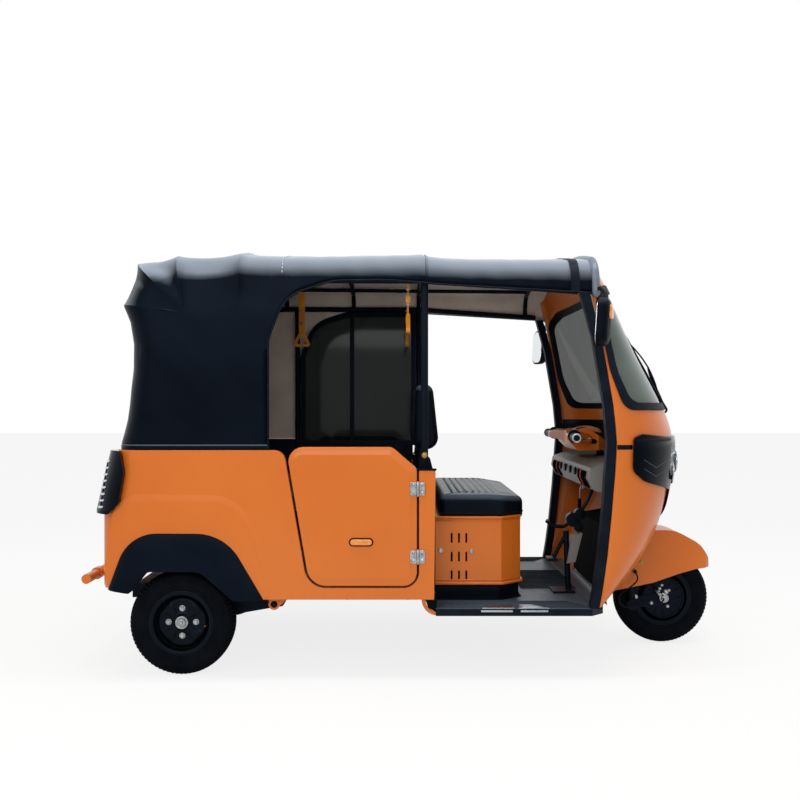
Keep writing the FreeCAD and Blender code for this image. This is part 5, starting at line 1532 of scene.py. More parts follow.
@dataclass
class Seats:
    """The driver's ribbed cushion and backrest, and the passengers' bench."""

    half: float = 450.0
    low: float = 602.0
    top: float = 686.0
    back: float = 110.0
    front: float = 449.0
    # The driver's cushion: first channel, their pitch, depth, half width
    channel_start: float = 134.0
    channel_pitch: float = 27.5
    channel_depth: float = 8.5
    channel_half: float = 4.5
    channel_count: int = 8
    rest_x: float = 45.5
    piping: float = 3.0
    bench_half: float = 559.0
    bench_seams: float = 190.0

    def channels(self, x: float, y: float) -> float:
        """Quilts the driver's cushion: cross channels, then a panel framed by a groove.

        Args:
            x: the station.
            y: the place across.

        Returns:
            How far the cover lies above its plain face.
        """
        height = 0.0
        inside = blend(392, 378, abs(y))
        for k in range(self.channel_count):
            off = (x - self.channel_start - self.channel_pitch * k) / self.channel_half
            height -= self.channel_depth * math.exp(-off ** 2) * inside
        if x > 334:
            across = abs(y) - (330 - max(0, x - 380) * 0.6)
            gap = max(abs(x - 382) - 32, across)
            height -= 4.5 * math.exp(-(gap / 4) ** 2)
        return height

    def cushion(self) -> None:
        """Makes the driver's cushion with its piping."""
        half = self.half - 1
        outline = rounded([(self.back, -half, 20), (self.front - 92, -half, 60), (self.front, -half + 80, 60),
                           (self.front, half - 80, 60), (self.front - 92, half, 60), (self.back, half, 20)])
        pad = Pad(outline, self.low, self.top, lambda u, v, w: at(u, v, w - 12 * blend(300, 450, u)),
                  9, 27, 6, 420, 46)
        piece = fit(pad.build(self.channels).object("driver_cushion", 70), "body", Look.LEATHERCLOTH)
        line = [at(p[0], p[1] * 1.002, self.low + 10) for p in outline]
        seam = Solid().tube(spread(line + line[:1], 160)[:-1], self.piping * MM, 8, True)
        fit(seam.object("driver_cushion_piping"), "body", Look.RUBBER)

    def rest(self) -> None:
        """Makes the driver's backrest, wrapped on its rails."""
        x = self.rest_x
        outline = rounded([(x - 42, 867, 34), (x + 60, 867, 44), (x + 33, 1121, 34), (x - 34, 1121, 26)])
        pad = Pad(outline, -self.half, self.half, lambda u, v, w: at(u, w, v), 34, 34, 6, 120, 14)
        solid = pad.build()
        piece = fit(solid.object("driver_backrest", 70), "body", Look.LEATHERCLOTH, "driver_seat")
        for side in (-1, 1):
            line = [at(u, side * (self.half - 30), v) for u, v in outline]
            seam = Solid().tube(spread(line + line[:1], 90)[:-1], self.piping * MM, 8, True)
            fit(seam.object(f"backrest_piping_{'right' if side < 0 else 'left'}"), "body", Look.RUBBER)

    def seams(self, across: float, off: float) -> float:
        """How far the bench's cover sinks at two lengthwise seams and a cross seam."""
        return (-6 * math.exp(-((abs(across) - self.bench_seams) / 7) ** 2)
                - 5 * math.exp(-(off / 7) ** 2))

    def bench(self) -> None:
        """Makes the passengers' cushion and backrest."""
        half = self.bench_half
        outline = rounded([(-962, -half, 30), (-506, -half, 50), (-506, half, 50), (-962, half, 30)])
        pad = Pad(outline, 562, 672, at, 16, 34, 8, 260, 26)
        piece = fit(pad.build(lambda x, y: self.seams(y, x + 740)).object("bench_cushion", 70),
                    "body", Look.LEATHERCLOTH)
        outline = rounded([(-half, 562, 40), (half, 562, 40), (half, 1079, 70), (-half, 1079, 70)])
        pad = Pad(outline, -1064, -1000, lambda u, v, w: at(w, u, v), 12, 26, 8, 260, 26)
        piece = fit(pad.build(lambda y, z: self.seams(y, z - 840)).object("bench_backrest", 70),
                    "body", Look.LEATHERCLOTH, "passenger_seat")

    def build(self) -> None:
        """Makes every cushion."""
        self.cushion()
        self.rest()
        self.bench()


@dataclass
class SeatBox:
    """The rolled lips, vents drawn as painted shade, locks and skirt of the driver's seat box."""

    half: float = 450.0
    back: float = 92.0
    front: float = 436.5
    # Rolled lips: height, how far out, radius
    lips: tuple = ((596, 2, 5.5), (584, 0, 3), (336, 4, 6.5), (349, 0, 3))
    # The skirt round the plinth: how far out, height
    skirt: tuple = ((-9, 331), (-6, 327), (-6, 300), (-7, 280), (0, 272.5), (5, 270.5))
    # Vent slots, black plates of painted shade: three by three, place of the first, pitch and size
    vent_first: tuple[float, float] = (152.5, 348.0)
    vent_pitch: tuple[float, float] = (29.0, 74.0)
    vent_size: tuple[float, float] = (7.0, 38.0)
    locks: tuple = ((113, 465), (235, 461))

    def outline(self, grow: float, z: float) -> Row:
        """Draws the box's plan at a height, open at the back.

        Args:
            grow: how far outside the box it runs.
            z: the height.

        Returns:
            Its points.
        """
        half, front = self.half + grow, self.front + grow
        corners = rounded([(self.back, -half), (front - 84, -half, 16), (front, -half + 74, 16),
                           (front, half - 74, 16), (front - 84, half, 16), (self.back, half)])
        return [at(u, v, z) for u, v in corners]

    def build(self) -> None:
        """Makes the lips, then the vents' painted shade and the locks."""
        lips = Solid()
        for z, grow, radius in self.lips:
            lips.tube(self.outline(grow, z), radius * MM, 10)
        fit(lips.object("seat_box_lips"), "body", Look.ENAMEL)
        skirt = Solid().grid([self.outline(grow, z) for grow, z in self.skirt])
        fit(skirt.object("seat_plinth_skirt"), "body", Look.SATIN_BLACK)
        # Each slot is a thin matt black plate on the skin: painted shade where the slot opens into the box
        vents = Solid()
        wide, tall = self.vent_size
        for i in range(3):
            for j in range(3):
                x = self.vent_first[0] + self.vent_pitch[0] * i
                z = self.vent_first[1] + self.vent_pitch[1] * j
                corners = rounded([(x, z, 3.4), (x + wide, z, 3.4), (x + wide, z + tall, 3.4),
                                   (x, z + tall, 3.4)], 4)
                for side in (-1, 1):
                    vents.slab([at(u, side * (self.half - 0.4), v) for u, v in corners],
                               Vector((0, side * 0.9 * MM, 0)))
        fit(vents.object("seat_box_vents"), "body", Look.SHADOW)
        locks = Solid()
        for side in (-1, 1):
            for x, z in self.locks:
                locks.turned([(9, 0), (9, 1.5), (7.5, 3), (4, 3.2), (3.6, 2), (0.01, 2)],
                             at(x, side * self.half, z), Vector((0, side, 0)), 20)
        fit(locks.object("seat_box_locks"), "body", Look.ZINC)


# Doors and side panels

@dataclass
class SidePanels:
    """Doors and quarters: pressed reliefs, hinges, reflectors, linings and the sill's end."""

    skin: float = 620.0
    front: float = 15.5
    top: float = 882.0
    base: float = 357.0
    rear_top: float = -480.5
    rear_base: float = -390.5
    inner_face: float = 594.6
    # The door skin's rows: how far in from the edge, how far it stands out
    door_rows: tuple = ((1.0, 0.1), (2.5, 1.6), (5, 2.0), (20, 2.0), (26, 4.2), (30, 4.6), (34, 4.4))
    lining_rows: tuple = ((6, 594.6), (6, 589), (12, 587), (60, 586))
    reflector: tuple[float, float] = (-195.5, 523.0)
    hinge_x: float = 19.5
    hinge_heights: tuple[int, int] = (724, 467)
    # Rows of the flare and of the swage: share of the way outward, height above the skin
    flare_rows: tuple = ((0, -24), (0, 8), (0, 22), (0.02, 27), (0.07, 30), (0.25, 31), (0.5, 30),
                         (0.68, 27.5), (0.82, 23), (0.92, 15), (0.98, 6), (1, 0))
    swage_rows: tuple = ((0, 2.6), (0.8, 2.6), (0.88, 2.1), (0.95, 0.7), (1, 0.05))
    pivot: tuple[float, float] = (-532.0, 276.0)

    def panel(self, inset: float, side: float) -> list[Vector]:
        """Draws the door's outline.

        Args:
            inset: how far it is drawn in.
            side: its distance from the middle plane.

        Returns:
            Its points.
        """
        corners = [(self.rear_top + inset, self.top - inset, max(8, 55 - inset)),
                   (self.front - 93 - inset * 0.4, self.top - inset, 18),
                   (self.front - inset, self.top - 82 - inset * 0.4, 18),
                   (self.front - inset, self.base + inset, max(8, 52 - inset)),
                   (self.rear_base + inset, self.base + inset, max(8, 75 - inset))]
        return [at(u, side, v) for u, v in rounded(corners, 8)]

    def doors(self, side: int, body: str, name: str) -> None:
        """Dresses one door.

        Args:
            side: -1 for the right one and 1 for the left one.
            body: the door's body.
            name: right or left.
        """
        skin = self.skin * side
        rows = [self.panel(inset, skin + side * proud) for inset, proud in self.door_rows]
        solid = Solid().grid(rows, wrap_columns=True)
        solid.ring_cap(rows[-1])
        fit(solid.object(f"door_skin_{name}", 50), body, Look.ENAMEL)
        lining = [[at(p.x / MM, side * y, min(880.0, p.z / MM)) for p in self.panel(inset, skin)]
                  for inset, y in self.lining_rows]
        inner = Solid().grid(lining, wrap_columns=True)
        inner.ring_cap(lining[-1])
        fit(inner.object(f"door_lining_{name}"), body, Look.RUBBER)
        dark, amber = Solid(), Solid()
        self.pill(side, 46, 16, 15, (4, 9), 3, 4).build(None, dark)
        self.pill(side, 41, 11, 10.5, (8, 12), 2.5, 12).build(
            lambda u, v: 0.8 * math.sin(u * 0.9) * math.sin(v * 0.9), amber)
        fit(dark.object(f"reflector_rim_{name}"), body, Look.SATIN_BLACK)
        fit(amber.object(f"reflector_{name}"), body, Look.AMBER)
        for height in self.hinge_heights:
            self.hinge(side, body, name, height)

    def pill(self, side: int, half: float, tall: float, corner: float, proud: tuple[float, float],
             edge: float, rings: int) -> Pad:
        """Makes a long rounded pad around the reflector's middle.

        Args:
            side: -1 for the right and 1 for the left.
            half: half its length.
            tall: half its height.
            corner: its corner radius.
            proud: where its back and its face stand above the skin.
            edge: the radius at its face.
            rings: rows of its face.

        Returns:
            The pad.
        """
        x, z = self.reflector
        outline = rounded([(x - half, z - tall, corner), (x + half, z - tall, corner),
                           (x + half, z + tall, corner), (x - half, z + tall, corner)])
        return Pad(outline, self.skin + proud[0], self.skin + proud[1],
                   lambda u, v, w: at(u, side * w, v), 0.5, edge, 0, 60, rings)

    def hinge(self, side: int, body: str, name: str, height: int) -> None:
        """Makes one hinge: a barrel and two leaves with screws.

        Args:
            side: -1 for the right and 1 for the left.
            body: the door's body, which the rear leaf rides on.
            name: right or left.
            height: the height of its middle.
        """
        knuckle = Solid().tube([at(self.hinge_x, side * (self.skin + 5.5), height + up)
                                for up in (-25, 0, 25)], 5.4 * MM, 12)
        fit(knuckle.object(f"hinge_barrel_{name}_{height}"), "body", Look.ZINC)
        leaves = ((self.front - 26, self.front - 1), (self.front + 9, self.front + 30))
        for leaf, (near, far) in enumerate(leaves):
            plate = Pad(rounded([(near, height - 25, 5), (far, height - 25, 5), (far, height + 25, 5),
                                 (near, height + 25, 5)]), self.skin + 0.5, self.skin + 6.5,
                        lambda u, v, w: at(u, side * w, v), 0.5, 1.5, 0, 40, 3)
            solid = plate.build()
            for up in (-15, 15):
                solid.turned([(0.01, 0), (5, 0), (5, 1), (3.6, 2.6), (0.01, 3)],
                             at((near + far) / 2, side * (self.skin + 6), height + up),
                             Vector((0, side, 0)), 14)
            fit(solid.object(f"hinge_leaf_{name}_{height}_{leaf}"), body if leaf == 0 else "body",
                Look.ZINC)

    def pressed(self, side: int, inner: list[tuple], outer: list[tuple],
                steps: Sequence[tuple[float, float]]) -> Solid:
        """A shape raised from the side between two lines.

        Args:
            side: -1 for the right and 1 for the left.
            inner: the corners of the line it starts at, in side view.
            outer: the corners of the line it ends at.
            steps: rows of (share of the way, height above the skin).

        Returns:
            The solid under construction.
        """
        lines = [spread([Vector((u, 0, v)) for u, v in rounded(corners, 14)], 96)
                 for corners in (inner, outer)]
        rows = [[at(a.x + (b.x - a.x) * t, side * (self.skin + proud), a.z + (b.z - a.z) * t)
                 for a, b in zip(*lines)] for t, proud in steps]
        return Solid().grid(rows)

    def arches(self, side: int, name: str) -> None:
        """Makes a wheel flare and the swage pressed into the side above it.

        Args:
            side: -1 for the right and 1 for the left.
            name: right or left.
        """
        opening = [(REAR_AXLE + 212, 305), (REAR_AXLE + 88, 413, 80), (REAR_AXLE - 112, 413, 40),
                   (REAR_AXLE - 178, 332)]
        rim = [(REAR_AXLE + 326, 305), (REAR_AXLE + 179, 554, 190), (REAR_AXLE - 182, 556, 150),
               (REAR_AXLE - 262, 345)]
        flare = self.pressed(side, opening, rim, self.flare_rows)
        fit(flare.object(f"flare_{name}", 50), "body", Look.FLARE, *(("wheel_flares",) if side < 0 else ()))
        swage = [(REAR_AXLE + 345, 318), (REAR_AXLE + 250, 700, 150), (REAR_AXLE - 235, 704, 110),
                 (REAR_AXLE - 275, 430)]
        raised = self.pressed(side, rim, swage, self.swage_rows)
        fit(raised.object(f"arch_swage_{name}", 60), "body", Look.ENAMEL)

    def build(self) -> None:
        """Dresses both sides."""
        self.doors(-1, "right_door", "right")
        self.doors(1, "left_door", "left")
        for side, name in ((-1, "right"), (1, "left")):
            self.arches(side, name)
            self.linings(side, name)
            self.post(side, name)
            self.sill_end(side, name)

    def linings(self, side: int, name: str) -> None:
        """Makes the plates inside the quarter and the door post, and beside the far window.

        Args:
            side: -1 for the right and 1 for the left.
            name: right or left.
        """
        lining = Solid()
        for corners, deep in (([(-1050, 700), (-549, 700), (-549, 868), (-1050, 868)], 6),
                              ([(15, 330), (86, 330), (86, 792), (15, 792)], 5)):
            lining.slab([at(u, side * self.inner_face, v) for u, v in corners],
                        Vector((0, -side * deep * MM, 0)), 2 * MM)
        if side > 0:
            for low, high in (((-549, 770), (-380, 842)), ((-120, 770), (16, 842))):
                lining.slab([at(low[0], 583, low[1]), at(high[0], 583, low[1]),
                             at(high[0], 583, high[1]), at(low[0], 583, high[1])],
                            Vector((0, -5 * MM, 0)), 1 * MM)
        fit(lining.object(f"side_lining_{name}"), "body", Look.RUBBER)

    def post(self, side: int, name: str) -> None:
        """Makes the door post's cap and the bolt above it.

        Args:
            side: -1 for the right and 1 for the left.
            name: right or left.
        """
        cap = Solid()
        cap.slab([at(u, side * v, 793) for u, v in ((14, 594), (90, 594), (90, 622), (14, 622))],
                 Vector((0, 0, 7 * MM)), 2 * MM)
        cap.slab([at(u, side * 596, v) for u, v in ((22, 800), (76, 800), (66, 838), (30, 880))],
                 Vector((0, side * 5 * MM, 0)), 1 * MM)
        fit(cap.object(f"post_cap_{name}"), "body", Look.SATIN_BLACK)
        bolt = Solid().bolt(at(45, side * 601, 850), Vector((0, side, 0)), 8)
        fit(bolt.object(f"pillar_bolt_{name}"), "body", Look.BRASS)

    def sill_end(self, side: int, name: str) -> None:
        """Makes the sill's curled front end and the lug of the rear suspension's pivot.

        Args:
            side: -1 for the right and 1 for the left.
            name: right or left.
        """
        dark = Solid().slab([at(u, side * 600, v) for u, v in ((46, 303), (92, 303), (92, 252), (60, 268))],
                            Vector((0, -side * 8 * MM, 0)), 1 * MM)
        fit(dark.object(f"sill_end_back_{name}"), "body", Look.SATIN_BLACK)
        foot = Solid().tube([at(92 - 52 * math.cos(a), side * 606, 306 - 56 * math.sin(a))
                             for a in (math.pi / 2 * k / 8 for k in range(9))], 7 * MM, 10)
        fit(foot.object(f"sill_end_{name}"), "body", Look.ENAMEL)
        x, z = self.pivot
        lug = Solid().turned([(0.01, 0), (22, 0), (22, 8), (20, 10), (0.01, 10)],
                             at(x, side * 556, z), Vector((0, side, 0)), 28)
        lug.slab([at(u, side * 556, v) for u, v in ((-560, 306), (-540, 260), (-518, 262), (-470, 306))],
                 Vector((0, side * 9 * MM, 0)), 1 * MM)
        fit(lug.object(f"pivot_lug_{name}"), "body", Look.ENAMEL)
        pin = Solid().bolt(at(x, side * 566, z), Vector((0, side, 0)), 10, 0.5)
        fit(pin.object(f"pivot_bolt_{name}"), "body", Look.BLACK_STEEL)


# Lamps

@dataclass
class Lamps:
    """Head lamps with bowls and bars, tail lamps with light ladders, and their trims."""

    # Reflector bowls: across, height, radius
    bowls: tuple = ((300, 812, 46), (372, 776, 34), (268, 744, 26))
    lens_lines: tuple[float, ...] = (722.0, 734.0, 862.0)
    chevron: tuple = ((880, 832), (936, 800), (992, 824))
    chevron_drops: tuple[float, float] = (0.0, -34.0)
    grille_base: float = 742.0
    grille_pitch: float = 15.0
    grille_bars: int = 9
    # The strip under the windscreen's corner: height, how far out
    strip_rows: tuple = ((872, 0.2), (873, 2), (881, 2.6), (889, 2), (890, 0.2))
    rung_base: float = 654.0
    rung_pitch: float = 24.5
    rungs: int = 8

    def head(self) -> None:
        """Puts bowls, bars and chevrons on the lamp surround."""
        surround, lens = Carrier("headlamp_surround"), Carrier("headlamp_lenses")
        chrome, dark, fine = Solid(), Solid(), Solid()
        for side in (-1, 1):
            for y, z, radius in self.bowls:
                spot, _ = lens.hit(at(1500, side * y, z), Vector((-1, 0, 0)))
                chrome.turned([(radius, -2), (radius * 0.92, -3), (radius * 0.7, -12), (radius * 0.35, -20),
                               (6, -23), (5, -14), (0.01, -13)], spot, Vector((1, 0, 0)), 32)
                chrome.turned([(radius + 3, -3), (radius + 2, 0), (radius, -1), (radius - 1, -4)], spot,
                              Vector((1, 0, 0)), 32)
            for z in self.lens_lines:
                line = []
                for k in range(9):
                    y = 225 + 24 * k
                    spot, _ = lens.hit(at(1500, side * y, z), Vector((-1, 0, 0)))
                    line.append(spot + Vector((-4 * MM, 0, 0)))
                fine.tube(line, 2.4 * MM, 6)
            for shift in self.chevron_drops:
                line = []
                for x, z in self.chevron:
                    spot, face = surround.hit(at(x, side * 900, z + shift), Vector((0, -side, 0)))
                    line.append(spot + face * 1.0 * MM)
                line = [line[0].lerp(line[1], t / 6) for t in range(6)] + [line[1].lerp(line[2], t / 6)
                                                                           for t in range(7)]
                smooth = []
                for p in line:
                    spot, face = surround.hit(Vector((p.x, side * 0.9, p.z)), Vector((0, -side, 0)))
                    smooth.append(spot + face * 0.4 * MM)
                fine.tube(smooth, 1.8 * MM, 6)
            brow = []
            for k in range(15):
                x = 846 + 12 * k
                spot, face = surround.hit(at(x, side * 900, 905 + 0.05 * k), Vector((0, -side, 0)))
                brow.append(spot + face * 2 * MM)
            dark.tube(brow, 6 * MM, 8)
        for k in range(self.grille_bars):
            z = self.grille_base + self.grille_pitch * k
            line = []
            for j in range(13):
                spot, _ = surround.hit(at(1500, -180 + 30 * j, z), Vector((-1, 0, 0)))
                line.append(spot + Vector((3 * MM, 0, 0)))
            dark.tube(line, 3.4 * MM, 8)
        fit(chrome.object("headlamp_bowls"), "body", Look.CHROME)
        fit(dark.object("grille_bars"), "body", Look.SATIN_BLACK)
        fit(fine.object("headlamp_lines"), "body", Look.INK)
        shell = Carrier("front_shell")
        for side, name in ((-1, "right"), (1, "left")):
            rows = []
            for z, proud in self.strip_rows:
                row = []
                for k in range(12):
                    spot, face = shell.hit(at(772 + 6 * k, side * 900, z), Vector((0, -side, 0)))
                    row.append(spot + face * proud * MM)
                rows.append(row)
            fit(Solid().grid(rows).object(f"nose_strip_{name}"), "body", Look.RUBBER)

    def tail(self) -> None:
        """Puts the light ladders into the tail lamps."""
        lamp = Carrier("tail_lamps")
        bars, rim = Solid(), Solid()
        for side in (-1, 1):
            rail = []
            for k in range(self.rungs):
                z = self.rung_base + self.rung_pitch * k
                middle = -1186 + 0.1 * (z - self.rung_base)
                pair = []
                for x in (middle - 9, middle, middle + 9):
                    spot, face = lamp.hit(at(x, side * 900, z), Vector((0, -side, 0)))
                    pair.append(spot + face * 1.2 * MM)
                bars.tube(pair, 6 * MM, 8, False, 0.5)
                rail.append(pair[1])
            rim.tube(rail, 3 * MM, 6)
        fit(rim.object("tail_light_rails"), "body", Look.INK)
        fit(bars.object("tail_light_ladders"), "body", Look.FROSTED)

    def build(self) -> None:
        """Dresses every lamp."""
        self.head()
        self.tail()


# Cab

@dataclass
class Cab:
    """Mirrors, headset, dashboard grille, linings, floor strips, straps and pedal."""

    mirror_x: float = 688.5
    mirror_y: float = 780.0
    mirror_z: float = 1341.0
    mirror_turn: float = 20.0
    mirror_arm: float = 8.0
    grip_end: tuple[float, float, float] = (664.7, 376.0, 907.5)
    grip_root: tuple[float, float, float] = (676.0, 262.0, 910.0)
    grip_length: float = 112.0
    slots: int = 7
    slot_start: float = 244.0
    slot_pitch: float = 26.0
    slot_heights: tuple[float, ...] = (712.0, 728.0, 744.0, 760.0, 772.0)
    # The black band on the wall: height, how far it stands out
    band_rows: tuple = ((968, 0.4), (966, 1.6), (940, 2), (905, 2), (870, 2), (838, 1.6), (836, 0.4))
    band_start: float = 773.0
    band_pitch: float = 11.0
    floor_top: float = 270.5
    rib: float = 4.0
    # The wiper's bow: share of the blade's length, how far ahead, how far up
    bow: tuple = ((0.12, 0, 0), (0.3, 12, 6), (0.5, 17, 9), (0.7, 12, 6), (0.88, 0, 0))
    pedal_y: float = -265.0
    strap_places: tuple = ((-16.5, -450), (-14.5, 450), (-528.5, 450))
    strap_rivets: tuple[float, float] = (1500.0, 1440.0)

    def mirror_point(self, side: int, across: float, up: float, ahead: float) -> Vector:
        """Finds a point of a mirror that is turned towards the driver.

        Args:
            side: -1 for the right one and 1 for the left one.
            across: from its middle towards the left.
            up: from its middle upward.
            ahead: from its glass forward.

        Returns:
            The point.
        """
        turn = math.radians(self.mirror_turn)
        way = Vector((math.cos(turn), side * math.sin(turn)))
        flat = way * ahead + Vector((-way.y, way.x)) * across
        return at(self.mirror_x + flat.x, side * self.mirror_y + flat.y, self.mirror_z + up)

    def mirrors(self) -> None:
        """Makes the mirror shells, glasses, arms and repeaters."""
        for side, name in ((-1, "right"), (1, "left")):
            outline = rounded([(-54, -88, 38), (54, -88, 38), (54, 88, 46), (-54, 88, 46)])
            pad = Pad(outline, -20, 22, lambda u, v, w: self.mirror_point(side, u, v, w + 0.06 * v), 4, 26, 4,
                      90, 12)
            shell = pad.build()
            shell.tube(curved([at(702, side * 591, 1482), at(706, side * 650, 1478),
                               at(708, side * 720, 1450), at(700, side * 762, 1408)], 16),
                       self.mirror_arm * MM, 10)
            shell.turned([(0.01, 0), (20, 0), (20, 6), (14, 16), (8, 22), (0.01, 22)],
                         at(702, side * 590, 1482), Vector((0.2, side, 0)), 24)
            fit(shell.object(f"mirror_shell_{name}"), "body", Look.SATIN_BLACK,
                *(("mirror_housings",) if side < 0 else ()))
            glass = Pad(rounded([(-47, -80, 32), (47, -80, 32), (47, 80, 40), (-47, 80, 40)]), 19, 22.5,
                        lambda u, v, w: self.mirror_point(side, u, v, 0.06 * v - w), 0.5, 1.5, 0.3, 90, 8)
            fit(glass.build().object(f"mirror_silver_{name}"), "body", Look.MIRROR,
                *(("mirror_glasses",) if side < 0 else ()))
            lamp = Pad(rounded([(-26, 10, 9), (26, 10, 9), (26, 62, 12), (-26, 62, 12)]), 18, 32,
                       lambda u, v, w: self.mirror_point(side, u, v, w), 2, 8, 2, 50, 6).build()
            fit(lamp.object(f"side_repeater_{name}"), "body", Look.AMBER)

    def headset(self) -> None:
        """Makes the handlebar's grips, flanges, levers and the instrument pod."""
        grips, metal, pod = Solid(), Solid(), Solid()
        for side in (-1, 1):
            end, root = (at(x, side * y, z) for x, y, z in (self.grip_end, self.grip_root))
            run = (root - end).normalized()
            ridges = [(17.5 + (1.2 if k % 3 == 0 else 0) - (5 if k == 0 else 0), self.grip_length * (k / 24))
                      for k in range(25)]
            flange = [(radius, self.grip_length + on) for radius, on in ((26, 0), (28, 3), (26, 6), (12, 6))]
            grips.turned([(0.01, 0)] + ridges + flange, end, run, 28)
            metal.turned([(13, -1), (19, -0.5), (20, 2), (18.6, 4)], end, run, 28)
            lever = [at(690, side * 250, 900), at(712, side * 280, 898), at(722, side * 340, 900),
                     at(716, side * 384, 906)]
            metal.tube(curved(lever, 14), 4.5 * MM, 8, False, 0.7)
        fit(grips.object("bar_grips"), "steering", Look.RUBBER)
        fit(metal.object("bar_levers"), "steering", Look.ZINC)
        rows = []
        for k in range(13):
            angle = math.pi * k / 12
            row = []
            for j in range(25):
                y = -118 + 236 * j / 24
                swell = math.sqrt(max(0.0, 1 - (y / 120) ** 2))
                row.append(at(775 - 62 * math.cos(angle) * (0.35 + 0.65 * swell), y,
                              922 + 28 * math.sin(angle) * swell))
            rows.append(row)
        pod.grid(rows)
        fit(pod.object("instrument_pod"), "steering", Look.ENAMEL)
        glass = Pad(rounded([(-70, 0, 24), (70, 0, 24), (70, 52, 24), (-70, 52, 24)]), 0, 4,
                    lambda u, v, w: at(724 + v * 0.9 - w * 0.5, u, 934 + v * 0.18 + w),
                    1, 2, 1, 60, 6).build()
        fit(glass.object("instrument_glass"), "steering", Look.SATIN_BLACK)

    def dash(self) -> None:
        """Makes the dashboard's slotted grille with painted shade in its slots, its pale end piece, lever and
        key.
        """
        board = Carrier("dashboard")
        dark, red, pale, metal = Solid(), Solid(), Solid(), Solid()
        for side in (-1, 1):
            # Each slot is a flat matt black bar: painted shade in the grille's openings; the third is red ABS
            for k in range(self.slots):
                y = side * (self.slot_start + self.slot_pitch * k)
                line = []
                for z in self.slot_heights:
                    spot, _ = board.hit(at(300, y, z), Vector((1, 0, 0)))
                    line.append(spot + Vector((-1.5 * MM, 0, 0)))
                (red if k == 2 else dark).tube(line, 6 * MM, 8, False, 0.5)
        for y in (-180, -60, 60, 180):
            spot, _ = board.hit(at(300, y, 762), Vector((1, 0, 0)))
            pale.turned([(0.01, 0), (17, 0), (17, 5), (14, 8), (0.01, 8)], spot, Vector((-1, 0, 0)), 24)
        fit(dark.object("dash_slots"), "body", Look.SHADOW)
        fit(red.object("dash_slot_red"), "body", Look.RED)
        fit(pale.object("dash_switches"), "body", Look.SATIN_BLACK)
        spot, _ = board.hit(at(300, -236, 700), Vector((1, 0, 0)))
        metal.turned([(0.01, 0), (13, 0), (13, 8), (10, 11), (4, 11), (4, 20), (0.01, 20)], spot,
                     Vector((-1, 0, 0)), 24)
        metal.tube([spot + Vector((-0.018, 0, 0)), spot + Vector((-0.022, 0, -0.012)),
                    spot + Vector((-0.022, 0, -0.05))], 1.4 * MM, 6)
        fit(metal.object("ignition_lock"), "body", Look.ZINC)
        fob = Pad(rounded([(-8, -96, 7), (8, -96, 7), (8, -50, 6), (-8, -50, 6)]), -4, 4,
                  lambda u, v, w: spot + Vector(((u - 24) * MM, w * MM, v * MM)), 2, 2, 1, 40, 4).build()
        fit(fob.object("key_fob"), "body", Look.SATIN_BLACK)

    def linings(self) -> None:
        """Makes the black band inside the front shell."""
        shell = Carrier("front_shell")
        for side, name in ((-1, "right"), (1, "left")):
            rows = []
            for z, lift in self.band_rows:
                row = []
                for k in range(21):
                    start = at(self.band_start + self.band_pitch * k, 0, z)
                    spot, _ = shell.hit(start, Vector((0, side, 0)))
                    # Where the lamp's opening leaves no wall, the band hangs straight down
                    across = spot.y - side * lift * MM if abs(spot.y) > 0.3 else rows[-1][k].y
                    row.append(Vector((start.x, across, start.z)))
                rows.append(row)
            rows.reverse()
            fit(Solid().grid(rows).object(f"cab_band_{name}"), "body", Look.LEATHERCLOTH)

    def floor(self) -> None:
        """Makes the ribs and aluminium strips of the driver's floor and the toe board."""
        metal, ribs = Solid(), Solid()
        for side in (-1, 1):
            for near, far in ((258, 378), (408, 512)):
                metal.slab([at(u, side * 619.6, v) for u, v in ((near, 258), (far, 258), (far, 265),
                                                                (near, 265))],
                           Vector((0, side * 2 * MM, 0)), 0.8 * MM)
            for plate in (((262, 617), (384, 617), (384, 560), (330, 560)),
                          ((402, 617), (516, 617), (452, 548), (402, 548))):
                metal.slab([at(u, side * v, 270.2) for u, v in plate], Vector((0, 0, 3 * MM)), 1 * MM)
            for k in range(6):
                y = side * (596 - 22 * k)
                ribs.tube([at(x, y, self.floor_top) for x in (100 + 2 * k, 400, 690 - 16 * k)],
                          self.rib * MM, 8, False, 0.6)
        for k in range(15):
            ribs.tube([at(x, -210 + 30 * k, self.floor_top) for x in (460, 560, 690)], self.rib * MM, 8,
                      False, 0.6)
        fit(metal.object("floor_strips"), "body", Look.ALUMINIUM)
        fit(ribs.object("floor_ribs"), "body", Look.TRAY)

    def toe_board(self) -> None:
        """Closes the floor between the tray and the foot of the front shell."""
        edge = [(790 if abs(y) < 285 else FRONT_AXLE - 393 + 66 * math.sqrt(1 - (y / 600) ** 2), y)
                for y in range(-590, 591, 20)]
        plate = Solid()
        plate.grid([[at(722, y, z) for _, y in edge] for z in (262, 269.6)]
                   + [[at(x, y, 269.6) for x, y in edge], [at(x, y, 262) for x, y in edge]], wrap_rows=True)
        ramp = [[at(690 + a, y, 270 + b) for y in range(-560, 561, 40)]
                for a, b in ((0, 0.5), (0, 4), (30, 5), (48, 9), (56, 16), (57, 1))]
        plate.grid(ramp)
        fit(plate.object("toe_board"), "body", Look.TRAY)

